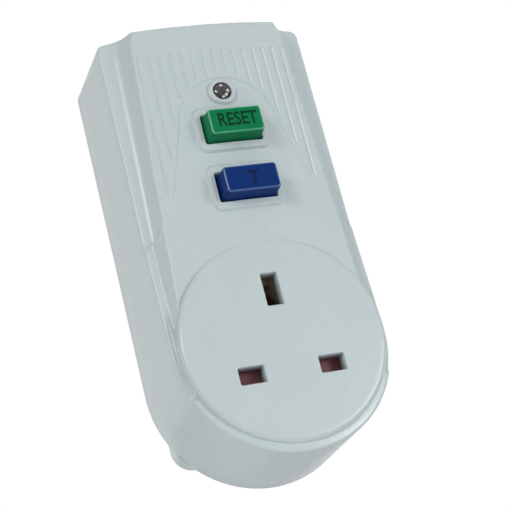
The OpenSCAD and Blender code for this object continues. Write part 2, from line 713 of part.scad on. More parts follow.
module circuit_board() color("darkgreen") in_frame() along_d(board_back, board_front) {
  translate([-board_neck_half, board_low]) square([2 * board_neck_half, board_high - board_low]);
  translate([-board_half, neck_low]) square([2 * board_half, neck_high - neck_low]);
}
ring_spot = [-board_half + ring_r + 0.5, neck_high - ring_r + 2.5];
ring_h = 8;
module current_transformer() color("darkslategray") in_frame()
  translate([ring_spot[0], ring_spot[1], board_front + 0.1]) rotate_extrude($fn = 96) {
    edge = 1;
    translate([ring_r / 2, 0]) square([ring_r / 2 - edge, ring_h]);
    translate([ring_r / 2, 0]) square([ring_r / 2, ring_h - edge]);
    translate([ring_r - edge, ring_h - edge]) circle(edge);
  }
// Two hairpins that lead the supply through the ring
module primary_leads() color("saddlebrown") in_frame() for (side = [-1, 1]) {
  lead_r = 0.9;
  top = board_front + ring_h + 1.6;
  reach = ring_r + 1.4;
  translate([ring_spot[0], ring_spot[1] + side * 1.4, 0]) {
    translate([0, 0, board_front]) cylinder(r = lead_r, h = top - board_front);
    translate([0, 0, top]) sphere(lead_r);
    translate([0, 0, top]) rotate([0, 0, side * 70]) {
      rotate([0, 90, 0]) cylinder(r = lead_r, h = reach);
      translate([reach, 0, 0]) sphere(lead_r);
      translate([reach, 0, board_front - top]) cylinder(r = lead_r, h = top - board_front);
    }
  }
}

coil_top = coil_y + coil_l;
frame_half = coil_r + 0.3;
module coil_frame() color("slategray") in_frame() translate([coil_x, 0, 0]) difference() {
  union() {
    block([-frame_half, coil_y, board_front], [frame_half, coil_top, board_front + coil_sheet]);
    for (y = [coil_y, coil_top - coil_sheet])
      block([-frame_half, y, board_front], [frame_half, y + coil_sheet, coil_axis + frame_half]);
  }
  translate([0, coil_y - over, coil_axis]) upright()
    cylinder(r = plunger_r + slide, h = coil_sheet + 2 * over);
}
flange_gap = 0.05;
bobbin_low = coil_y + coil_sheet + flange_gap;
bobbin_high = coil_top - coil_sheet - flange_gap;
tube_r = plunger_r + 1.1;
cheek_w = 1;
module coil_bobbin() color("ivory") in_frame()
  translate([coil_x, bobbin_low, coil_axis]) upright() difference() {
    length = bobbin_high - bobbin_low;
    union() {
      cylinder(r = tube_r, h = length);
      for (z = [0, length - cheek_w]) translate([0, 0, z]) cylinder(r = coil_r, h = cheek_w);
    }
    translate([0, 0, -over]) cylinder(r = plunger_r + slide, h = far);
  }
module coil_winding() color("chocolate") in_frame()
  translate([coil_x, bobbin_low + cheek_w + flange_gap, coil_axis]) upright() difference() {
    length = bobbin_high - bobbin_low - 2 * (cheek_w + flange_gap);
    cylinder(r = coil_r - 0.4, h = length);
    translate([0, 0, -over]) cylinder(r = tube_r + run, h = far);
  }
// Push-type plunger: its tip stands just off the latch lever's arm
tip_y = pivot_y + 2.1;
collar_y = coil_y - 4.6;
module trip_plunger() color("silver") in_frame() translate([coil_x, tip_y, coil_axis]) upright() {
  cylinder(r = 1.1, h = collar_y - tip_y + dip);
  translate([0, 0, collar_y - tip_y]) cylinder(r = plunger_r + 1.4, h = 1);
  translate([0, 0, collar_y - tip_y]) cylinder(r = plunger_r, h = coil_top - coil_sheet - 4 - collar_y);
}
module plunger_spring() color("silver") in_frame() translate([coil_x, collar_y + 1.1, coil_axis]) upright()
  coil_spring(plunger_r + 0.8, coil_y - 0.1 - collar_y - 1.1, 3);
// Bell-crank that holds the contact carriage until the plunger pushes its arm
hook_y = reset_y - 1.4;
module latch_lever() color("lightsteelblue") in_frame() difference() {
  union() {
    along_d(lever_back, lever_front) {
      translate([pivot_x, pivot_y]) circle(2);
      translate([pivot_x - 0.6, pivot_y]) square([1.2, hook_y + 0.7 - pivot_y]);
      translate([cheek_x + 0.2, hook_y - 0.7]) square([pivot_x - cheek_x, 1.4]);
      translate([pivot_x, pivot_y - 0.8]) square([coil_x + 1.4 - pivot_x, 2.6]);
    }
    translate([pivot_x, pivot_y, lever_back - 2]) cylinder(r = 2, h = lever_t + 2.6);
  }
  translate([pivot_x, pivot_y, 0]) cylinder(r = pivot_r + run, h = far);
}
module latch_pivot() color("silver") in_frame() translate([pivot_x, pivot_y, board_front]) {
  cylinder(r = pivot_r, h = lever_front + 1 - board_front);
  cylinder(r = 2, h = lever_back - 2.1 - board_front);
}

// Chassis that guides the stems and seats the button springs, hung from the cover
post_x = spring_r + 9;
module mechanism_frame() color("whitesmoke") in_frame() {
  low = test_y - 8;
  high = reset_y + 8;
  difference() {
    along_d(frame_back, frame_front) translate([-post_x - 2, low]) square([2 * post_x + 4, high - low]);
    for (y = [reset_y, test_y]) translate([0, y, 0]) cylinder(r = stem_r + slide, h = far);
  }
  for (x = [-1, 1], y = [low + 2, high - 2]) translate([x * post_x, y, frame_front - dip])
    cylinder(r = 1.6, h = roof_d - frame_front + dip);
}
carriage_half = cheek_x + cheek_t;
module contact_carriage() color("whitesmoke") in_frame() translate([0, reset_y, 0]) difference() {
  union() {
    block([-carriage_half, -carriage_h / 2, carriage_back], [carriage_half, carriage_h / 2, carriage_front]);
    translate([0, 0, carriage_back]) cylinder(r = stem_r + 1.6, h = carriage_t + 1.5);
    block([cheek_x, -carriage_h / 2, cheek_back], [carriage_half, carriage_h / 2, cheek_front]);
  }
  cylinder(r = stem_r + run, h = far);
  block([cheek_x - over, -2.5, carriage_back - 0.1],
        [carriage_half + over, -0.3, carriage_front + reset_travel - 0.6]);
}
module moving_contacts() color("silver") in_frame() on_both_sides()
  translate([tail_x, reset_y, carriage_front]) cylinder(r = contact_r, h = contact_t);
module fixed_contacts() color("silver") in_frame() on_both_sides()
  translate([tail_x, reset_y, carriage_front + contact_t + 0.1]) cylinder(r = contact_r, h = 1);

module control_chip() color("black") in_frame() translate([0, (reset_y + test_y) / 2, 0]) {
  block([-4.9, -3.2, board_front + 0.6], [4.9, 3.2, board_front + 3.8]);
  for (side = [-1, 1], x = [-3.81:2.54:3.81]) block([x - 0.25, side * 3.5 - 0.3, board_front],
                                                    [x + 0.25, side * 3.5 + 0.3, board_front + 2]);
}
module smoothing_capacitor() color("navy") in_frame() translate([5 - board_half, test_y - 3, board_front]) {
  cylinder(r = 4, h = 11);
  translate([0, 0, 11 - dip]) cylinder(r = 3.5, h = 0.4);
}
module surge_varistor() color("royalblue") in_frame()
  translate([2.6 - board_half, (reset_y + test_y) / 2 + 2.6, board_front + 6.4]) rotate([0, 90, 0]) {
    cylinder(r = 5.4, h = 3.6);
    for (side = [-1, 1]) translate([0, side * 2.5, 1.8]) rotate([0, 90, 0]) cylinder(r = 0.4, h = 6.4);
  }
module resistors() color("tan") in_frame() for (i = [0:2])
  translate([board_half - 3 - 3.4 * i, test_y - 4, board_front + 1.3]) upright() {
    cylinder(r = 1.2, h = 6.4);
    for (z = [-1.2, 7]) translate([0, 0, z]) cube([0.5, 2.6, 0.6], center = true);
    translate([0, 0, -1.5]) cylinder(r = 0.3, h = 9.4);
  }

front_cover();
rear_cover();
cover_screws();
reset_button();
reset_spring();
test_button();
test_spring();
test_pads();
indicator_lens();
lamp_leads();
socket_shutter();
shutter_spring();
socket_block();
line_contact();
neutral_contact();
earth_contact();
line_pin();
neutral_pin();
earth_pin();
pin_sleeves();
supply_strips();
circuit_board();
current_transformer();
primary_leads();
coil_frame();
coil_bobbin();
coil_winding();
trip_plunger();
plunger_spring();
latch_lever();
latch_pivot();
mechanism_frame();
contact_carriage();
moving_contacts();
fixed_contacts();
control_chip();
smoothing_capacitor();
surge_varistor();
resistors();
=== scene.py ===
"""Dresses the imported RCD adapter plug: its mouldings, buttons, lamp, metalwork and studio.

Shapes are worked out in the mould frame, in millimetres: x across the housing, y up it and d out of the wall,
with d = 0 on the plug face. `placed` turns that into the row frame, in metres.
"""

import logging
import math
from collections.abc import Callable, Iterable, Sequence
from dataclasses import dataclass
from enum import Enum

import bmesh
import bpy
import numpy as np
from mathutils import Matrix, Vector
from mathutils.geometry import delaunay_2d_cdt
from mathutils.kdtree import KDTree


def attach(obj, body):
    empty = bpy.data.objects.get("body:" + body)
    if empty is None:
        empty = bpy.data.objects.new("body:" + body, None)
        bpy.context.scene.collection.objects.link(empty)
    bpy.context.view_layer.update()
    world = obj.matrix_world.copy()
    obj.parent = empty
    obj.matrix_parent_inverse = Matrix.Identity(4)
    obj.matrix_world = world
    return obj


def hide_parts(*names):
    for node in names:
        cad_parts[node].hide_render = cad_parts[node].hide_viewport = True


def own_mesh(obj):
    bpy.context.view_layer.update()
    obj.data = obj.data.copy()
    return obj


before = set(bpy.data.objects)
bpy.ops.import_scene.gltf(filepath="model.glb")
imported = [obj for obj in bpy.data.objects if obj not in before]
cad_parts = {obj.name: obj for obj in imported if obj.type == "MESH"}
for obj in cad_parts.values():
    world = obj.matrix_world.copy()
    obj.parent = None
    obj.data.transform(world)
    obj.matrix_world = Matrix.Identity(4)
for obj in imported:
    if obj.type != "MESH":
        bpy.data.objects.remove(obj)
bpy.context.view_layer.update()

log = logging.getLogger("rcd_adapter")

MM = 0.001

# Places that several pieces share, in the mould frame.
RIM_D, PLATE_D = 5.0, 7.2
END_Y = 7.9
POLE_X, EARTH_Y = 11.1, 22.2
TEST_Y, RESET_Y, LAMP_Y = 51.9, 68.9, 80.0
SCREW_SPOTS = ((-23.34, 94.3), (23.34, 94.3), (-23.34, 41.5), (23.34, 41.5), (0.0, -16.64))
SCREW_SEAT_D = 6.6

Triple = tuple[float, float, float]
Colour = Triple
Pair = tuple[float, float]
Array = np.ndarray
Socket = bpy.types.NodeSocket


class Body(Enum):
    """Moving bodies of the part that pieces ride on."""

    HOUSING = "housing"
    RESET = "reset"
    TEST = "test"
    SHUTTER = "shutter"


class Slot(Enum):
    """Material slots of the record, one named for each new piece."""

    HOUSING = "housing"
    RESET = "reset_green"
    TEST = "test_blue"
    LENS = "lens_clear"
    SHUTTER = "shutter_maroon"
    PIN = "pin_brass"
    SLEEVE = "sleeve_black"
    SPRING = "spring_wire"
    SCREW = "screw_zinc"
    INK = "mark_ink"


def placed(points: Array) -> Array:
    """Turns mould points (x, y, d) in millimetres into row points in metres."""
    return np.column_stack([points[:, 0], -points[:, 2], points[:, 1]]) * MM


def eased(low: float, high: float, value: Array) -> Array:
    """Runs smoothly from 0 at low to 1 at high."""
    t = np.clip((value - low) / (high - low), 0.0, 1.0)
    return t * t * (3 - 2 * t)


def linear(red: int, green: int, blue: int) -> Colour:
    """Turns a display colour of 0 to 255 into the linear colour that a shader takes."""
    def one(part: int) -> float:
        """Turns one channel."""
        share = part / 255
        return share / 12.92 if share <= 0.04045 else ((share + 0.055) / 1.055) ** 2.4
    return one(red), one(green), one(blue)


def within(points: Array, ring: Array) -> Array:
    """Tells which points lie inside a closed ring.

    Args:
        points: Plan points, one a row.
        ring: Corners of the ring, in order.

    Returns:
        One truth value for each point.
    """
    inside = np.zeros(len(points), bool)
    for (ax, ay), (bx, by) in zip(ring, np.roll(ring, -1, axis=0)):
        if ay == by:
            continue
        crosses = (ay > points[:, 1]) != (by > points[:, 1])
        inside ^= crosses & (points[:, 0] < (bx - ax) * (points[:, 1] - ay) / (by - ay) + ax)
    return inside


def circle_ring(centre: Pair, radius: float, count: int) -> Array:
    """Spreads points round a circle."""
    turn = np.arange(count) * 2 * math.pi / count
    return np.column_stack([centre[0] + radius * np.cos(turn), centre[1] + radius * np.sin(turn)])


def rect_ring(centre: Pair, size: Pair, corner: float, counts: tuple[int, int],
              arc: int = 5) -> Array:
    """Spreads points round a rectangle with round corners.

    Args:
        centre: Middle of the rectangle.
        size: Its full width and height.
        corner: Radius of its corners.
        counts: Steps along its width and along its height.
        arc: Points on each corner.

    Returns:
        The points, anticlockwise.
    """
    half_w, half_h = size[0] / 2 - corner, size[1] / 2 - corner
    points: list[Pair] = []
    for quarter, (sx, sy) in enumerate([(1, 1), (-1, 1), (-1, -1), (1, -1)]):
        turn = np.radians(np.linspace(0, 90, arc)) + quarter * math.pi / 2
        points += [(sx * half_w + corner * math.cos(a), sy * half_h + corner * math.sin(a)) for a in turn]
        end, count = points[-1], counts[quarter % 2]
        for share in 1 - 2 * np.arange(1, count) / count:
            points.append((sx * half_w * share, end[1]) if quarter % 2 == 0 else (end[0], sy * half_h * share))
    return np.array(points) + np.array(centre)


def arcade(half: float, level: Array, count: int) -> Array:
    """Spreads points up the right side, across the top and down the left side.

    Args:
        half: Half width.
        level: Heights of the points on each side, up to the top.
        count: Points across the top, with the corners.

    Returns:
        The points, in order.
    """
    across = np.linspace(1, -1, count)[1:-1] * half
    return np.concatenate([np.column_stack([half + 0 * level, level]),
                           np.column_stack([across, level[-1] + 0 * across]),
                           np.column_stack([-half + 0 * level, level[::-1]])])


class Shell:
    """Gathers the loops and faces of one closed piece, in the mould frame."""

    def __init__(self) -> None:
        """Starts with no points."""
        self._points: list[Array] = []
        self._faces: list[tuple[int, ...]] = []
        self._count = 0

    def loop(self, plan: Array, depth: float | Array) -> Array:
        """Adds points.

        Args:
            plan: Their x and y.
            depth: Their d, one for all or one for each.

        Returns:
            The numbers of the new points.
        """
        depths = np.broadcast_to(np.asarray(depth, float), (len(plan),))
        self._points.append(np.column_stack([plan, depths]))
        numbers = np.arange(self._count, self._count + len(plan))
        self._count += len(plan)
        return numbers

    def band(self, first: Array, second: Array) -> Array:
        """Joins two closed loops of equal length with quads and returns the second."""
        self._faces += list(zip(first, np.roll(first, -1), np.roll(second, -1), second))
        return second

    def stack(self, rows: Iterable[tuple[Array, float | Array]]) -> tuple[Array, Array]:
        """Joins a stack of closed loops and returns the first and the last."""
        loops = [self.loop(plan, depth) for plan, depth in rows]
        for first, second in zip(loops, loops[1:]):
            self.band(first, second)
        return loops[0], loops[-1]

    def lid(self, loops: Sequence[Array], loose: Array | None = None) -> None:
        """Covers the area inside the first loop and outside the others.

        Args:
            loops: Numbers of the points of each loop.
            loose: Numbers of further points that the cover passes through.
        """
        used = np.concatenate([*loops, loose] if loose is not None else list(loops))
        plan = np.concatenate(self._points)[used][:, :2]
        edges: list[tuple[int, int]] = []
        rings: list[Array] = []
        start = 0
        for loop in loops:
            count = len(loop)
            edges += [(start + i, start + (i + 1) % count) for i in range(count)]
            rings.append(plan[start:start + count])
            start += count
        places, _, faces, sources, _, _ = delaunay_2d_cdt([Vector(p) for p in plan], edges, [], 0, 1e-7, True)
        flat, corners = np.array([tuple(p) for p in places]), np.array(faces)
        middles = flat[corners].mean(axis=1)
        kept = within(middles, rings[0])
        for ring in rings[1:]:
            kept &= ~within(middles, ring)
        number = [int(used[source[0]]) for source in sources]
        self._faces += [tuple(number[i] for i in face) for face in corners[kept]]

    def tube(self, centre: Pair, outer: float, bore: float, low: float, high: float) -> None:
        """Adds a closed tube that stands along d."""
        rows = [(outer, low), (outer, high), (bore, high), (bore, low)]
        first, last = self.stack((circle_ring(centre, r, 40), d) for r, d in rows)
        self.band(last, first)

    def plug(self, rows: Iterable[tuple[Array, float]]) -> None:
        """Adds a closed solid: a stack of loops with a lid on each end."""
        for end in self.stack(rows):
            self.lid([end])

    def piece(self, name: str, crease: float, known: tuple[Array, Array] | None = None) -> bpy.types.Object:
        """Turns the faces into an object.

        Args:
            name: The piece's name.
            crease: Angle in degrees above which an edge shades sharp.
            known: Numbers of some points, and their outward directions in the mould frame.

        Returns:
            The new object, in the row frame.
        """
        points = np.concatenate(self._points)
        mesh = bpy.data.meshes.new(name)
        mesh.from_pydata(placed(points).tolist(), [], [tuple(int(i) for i in face) for face in self._faces])
        rework(mesh)
        smooth(mesh, crease)
        if known:
            normals = np.zeros((len(points), 3))
            normals[known[0]] = known[1][:, [0, 2, 1]] * (1, -1, 1)
            mesh.normals_split_custom_set_from_vertices(normals.tolist())
        return linked(name, mesh)


def rework(mesh: bpy.types.Mesh, *steps: Callable[[bmesh.types.BMesh], None]) -> None:
    """Edits a mesh step by step, and then turns its faces outward."""
    work = bmesh.new()
    work.from_mesh(mesh)
    for step in steps:
        step(work)
    bmesh.ops.recalc_face_normals(work, faces=work.faces)
    work.to_mesh(mesh)
    work.free()


def smooth(mesh: bpy.types.Mesh, crease: float) -> None:
    """Shades a mesh smooth, with sharp edges above an angle in degrees."""
    mesh.shade_smooth()
    mesh.set_sharp_from_angle(angle=math.radians(crease))


def linked(name: str, shape: bpy.types.ID) -> bpy.types.Object:
    """Puts a mesh, curve, lamp or camera into the scene as an object at the origin."""
    piece = bpy.data.objects.new(name, shape)
    bpy.context.scene.collection.objects.link(piece)
    return piece


def plain_mesh(carrier: bpy.types.Object) -> bpy.types.Mesh:
    """Turns an object's final shape into a plain mesh and removes the object."""
    ready = carrier.evaluated_get(bpy.context.evaluated_depsgraph_get())
    mesh = bpy.data.meshes.new_from_object(ready)
    bpy.data.objects.remove(carrier)
    return mesh


def finished(piece: bpy.types.Object, body: Body, slot: Slot, *nodes: str) -> None:
    """Ties a finished piece to its body and hides the CAD nodes that it stands for."""
    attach(piece, body.value)
    if nodes:
        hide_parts(*nodes)
    log.info("%s: %d faces on %s", piece.name, len(piece.data.polygons), body.value)


class Graph:
    """Adds and wires the nodes of one tree."""

    def __init__(self, tree: bpy.types.NodeTree) -> None:
        """Takes the tree to fill."""
        self.tree = tree

    def fill(self, node: bpy.types.Node, inputs: dict[str | int, object]) -> None:
        """Sets inputs of a node, each to a value or to the socket that feeds it."""
        for key, value in inputs.items():
            if isinstance(value, Socket):
                self.tree.links.new(value, node.inputs[key])
            else:
                node.inputs[key].default_value = value

    def add(self, kind: str, inputs: dict[str | int, object] | None = None, **settings: object) -> bpy.types.Node:
        """Adds a node.

        Args:
            kind: The node's type.
            inputs: For each input socket, a value or the socket that feeds it.
            settings: The node's own properties.

        Returns:
            The node.
        """
        node = self.tree.nodes.new(kind)
        for name, value in settings.items():
            setattr(node, name, value)
        self.fill(node, inputs or {})
        return node

    def maths(self, operation: str, *values: object) -> Socket:
        """Adds a Math node and returns its result."""
        return self.add("ShaderNodeMath", dict(enumerate(values)), operation=operation).outputs[0]

    def place(self) -> Socket:
        """Returns the object's own coordinates."""
        return self.add("ShaderNodeTexCoord").outputs["Object"]

    def noise(self, place: Socket, scale: object, detail: float) -> Socket:
        """Returns the value of a noise."""
        return self.add("ShaderNodeTexNoise", {"Vector": place, "Scale": scale, "Detail": detail}).outputs["Fac"]

    def ranged(self, value: Socket, before: Pair = (0.0, 1.0),
               after: Pair = (0.0, 1.0)) -> Socket:
        """Maps a value from one range to another."""
        limits = dict(zip(("From Min", "From Max", "To Min", "To Max"), (*before, *after)))
        return self.add("ShaderNodeMapRange", {"Value": value, **limits}).outputs["Result"]

    def mixed(self, share: Socket, first: Socket,
              second: Socket) -> Socket:
        """Mixes two colours."""
        return self.add("ShaderNodeMix", {"Factor": share, 6: first, 7: second}, data_type="RGBA").outputs[2]

    def bump(self, height: Socket, strength: float, distance: float) -> Socket:
        """Turns a height into a bent normal."""
        return self.add("ShaderNodeBump", {"Strength": strength, "Distance": distance,
                                           "Height": height}).outputs["Normal"]


class ShaderKit:
    """Effects that several finishes share, each a shader node group."""

    kinds = {"Colour": "Color", "Worn And Highlight": "Color", "Tarnish": "Color", "Stretch": "Vector"}

    def __init__(self) -> None:
        """Builds the groups."""
        self.grain = self._grain()
        self.wear_and_highlight = self._wear_and_highlight()
        self.drawn = self._drawn()

    def _sockets(self, graph: Graph, way: str, labels: Iterable[str]) -> None:
        """Adds a group's inputs or outputs, which carry numbers unless `kinds` says otherwise."""
        for label in labels:
            kind = "NodeSocket" + self.kinds.get(label, "Float")
            graph.tree.interface.new_socket(label, in_out=way, socket_type=kind)

    def _start(self, name: str, *labels: str) -> tuple[Graph, bpy.types.NodeOutputs]:
        """Starts a group and returns its graph and the sockets that it is given."""
        graph = Graph(bpy.data.node_groups.new(name, "ShaderNodeTree"))
        self._sockets(graph, "INPUT", labels)
        return graph, graph.add("NodeGroupInput").outputs

    def _close(self, graph: Graph, gives: dict[str, Socket]) -> bpy.types.NodeTree:
        """Ends a group with its results and returns its tree."""
        self._sockets(graph, "OUTPUT", gives)
        graph.add("NodeGroupOutput", gives)
        return graph.tree

    def _grain(self) -> bpy.types.NodeTree:
        """Fine moulded grain with a faint mottle of colour and gloss."""
        graph, given = self._start("moulded_grain", "Colour", "Mottle", "Roughness", "Spread", "Grain")
        place = graph.place()
        fine = graph.noise(place, given["Grain"], 2.0)
        drift = graph.maths("SUBTRACT", graph.noise(place, 70.0, 4.0), 0.5)
        both = graph.maths("MULTIPLY_ADD", graph.maths("SUBTRACT", fine, 0.5), 0.35, drift)
        value = graph.maths("MULTIPLY_ADD", both, given["Mottle"], 1.0)
        tint = graph.add("ShaderNodeHueSaturation", {"Value": value, "Color": given["Colour"]}).outputs["Color"]
        rough = graph.maths("MULTIPLY_ADD", both, given["Spread"], given["Roughness"])
        return self._close(graph, {"Colour": tint, "Roughness": rough, "Height": fine})

    def _wear_and_highlight(self) -> bpy.types.NodeTree:
        """Paler edges, broken up by noise: rubbed wear and a painted highlight along the edges."""
        graph, given = self._start("edge_wear_and_highlight", "Colour", "Worn And Highlight", "Radius", "Amount")
        round_off = graph.add("ShaderNodeBevel", {"Radius": given["Radius"]}, samples=4).outputs["Normal"]
        plain = graph.add("ShaderNodeNewGeometry").outputs["Normal"]
        along = graph.add("ShaderNodeVectorMath", {0: round_off, 1: plain}, operation="DOT_PRODUCT").outputs["Value"]
        edge = graph.ranged(along, (0.98, 0.86))
        patchiness = graph.ranged(graph.noise(graph.place(), 900.0, 4.0), (0.35, 0.65))
        mask = graph.maths("MULTIPLY", graph.maths("MULTIPLY", edge, patchiness), given["Amount"])
        return self._close(graph, {"Colour": graph.mixed(mask, given["Colour"], given["Worn And Highlight"])})

    def _drawn(self) -> bpy.types.NodeTree:
        """Metal with marks drawn out one way and a light tarnish."""
        graph, given = self._start("drawn_metal", "Colour", "Tarnish", "Stretch", "Roughness")
        place = graph.place()
        pulled = graph.add("ShaderNodeVectorMath", {0: place, 1: given["Stretch"]}, operation="MULTIPLY")
        marks = graph.noise(pulled.outputs["Vector"], 1.0, 5.0)
        share = graph.ranged(graph.noise(place, 240.0, 5.0), (0.45, 0.75), (0.0, 0.55))
        rough = graph.maths("MULTIPLY_ADD", graph.maths("SUBTRACT", marks, 0.5), 0.3, given["Roughness"])
        return self._close(graph, {"Colour": graph.mixed(share, given["Colour"], given["Tarnish"]),
                                   "Roughness": rough, "Height": marks})


@dataclass(frozen=True)
class Finish:
    """A procedural finish with a name and a main colour."""

    name: str
    colour: Colour

    def material(self, kit: ShaderKit) -> bpy.types.Material:
        """Returns the finish's material, which is built once.

        Args:
            kit: The shared effects.

        Returns:
            The material.
        """
        known = bpy.data.materials.get(self.name)
        if known:
            return known
        material = bpy.data.materials.new(self.name)
        material.use_nodes = True
        material.diffuse_color = (*self.colour, 1.0)
        self.wire(Graph(material.node_tree), material.node_tree.nodes["Principled BSDF"], kit)
        return material

    def wire(self, graph: Graph, surface: bpy.types.Node, kit: ShaderKit) -> None:
        """Wires the finish into a Principled shader."""
        raise NotImplementedError


@dataclass(frozen=True)
class Moulded(Finish):
    """Moulded plastic with fine grain, and paler edges where it is handled: rubbed wear and a painted highlight."""

    roughness: float = 0.5
    spread: float = 0.2
    mottle: float = 0.05
    grain: float = 4200.0
    relief: float = 0.12
    coat: float = 0.0
    worn_and_highlight: Colour | None = None
    wear_and_highlight: float = 0.5
    gloss: float = 0.45
    wear_and_highlight_radius: float = 0.0004
    relief_height: float = 0.00008
    coat_roughness: float = 0.18

    def wire(self, graph: Graph, surface: bpy.types.Node, kit: ShaderKit) -> None:
        """Wires grain, mottle and the paler edges, wear and painted highlight, into the shader."""
        body = graph.add("ShaderNodeGroup", {
            "Colour": (*self.colour, 1.0), "Mottle": self.mottle, "Grain": self.grain,
            "Roughness": self.roughness, "Spread": self.spread}, node_tree=kit.grain).outputs
        colour = body["Colour"]
        # Paler edges: partly rubbed wear, partly a painted highlight.
        if self.worn_and_highlight is not None:
            colour = graph.add("ShaderNodeGroup", {
                "Colour": colour, "Worn And Highlight": (*self.worn_and_highlight, 1.0), "Radius": self.wear_and_highlight_radius,
                "Amount": self.wear_and_highlight}, node_tree=kit.wear_and_highlight).outputs["Colour"]
        graph.fill(surface, {
            "Base Color": colour, "Roughness": body["Roughness"], "Coat Weight": self.coat,
            "Coat Roughness": self.coat_roughness, "Specular IOR Level": self.gloss,
            "Normal": graph.bump(body["Height"], self.relief, self.relief_height)})


@dataclass(frozen=True)
class Metal(Finish):
    """Drawn, stamped or plated metal."""

    tarnish: Colour
    roughness: float
    stretch: Triple = (3000.0, 3000.0, 160.0)
    relief: float = 0.08
    relief_height: float = 0.00005

    def wire(self, graph: Graph, surface: bpy.types.Node, kit: ShaderKit) -> None:
        """Wires drawing marks and tarnish into the shader."""
        body = graph.add("ShaderNodeGroup", {
            "Colour": (*self.colour, 1.0), "Tarnish": (*self.tarnish, 1.0), "Stretch": self.stretch,
            "Roughness": self.roughness}, node_tree=kit.drawn).outputs
        graph.fill(surface, {
            "Base Color": body["Colour"], "Roughness": body["Roughness"], "Metallic": 1.0,
            "Normal": graph.bump(body["Height"], self.relief, self.relief_height)})


@dataclass(frozen=True)
class ClearDome(Finish):
    """Clear tinted moulding that light passes through."""

    roughness: float = 0.04
    spread: float = 0.06
    mottle: float = 0.1
    grain: float = 2500.0
    index: float = 1.49

    def wire(self, graph: Graph, surface: bpy.types.Node, kit: ShaderKit) -> None:
        """Wires a faint haze into a transmitting shader."""
        body = graph.add("ShaderNodeGroup", {
            "Colour": (*self.colour, 1.0), "Mottle": self.mottle, "Grain": self.grain,
            "Roughness": self.roughness, "Spread": self.spread}, node_tree=kit.grain).outputs
        graph.fill(surface, {"Base Color": body["Colour"], "Roughness": body["Roughness"],
                             "Transmission Weight": 1.0, "IOR": self.index})


def dressed(mesh: bpy.types.Mesh, kit: ShaderKit, *finishes: Finish) -> None:
    """Gives a mesh its finishes, in the order of its material numbers."""
    mesh.materials.clear()
    for finish in finishes:
        mesh.materials.append(finish.material(kit))


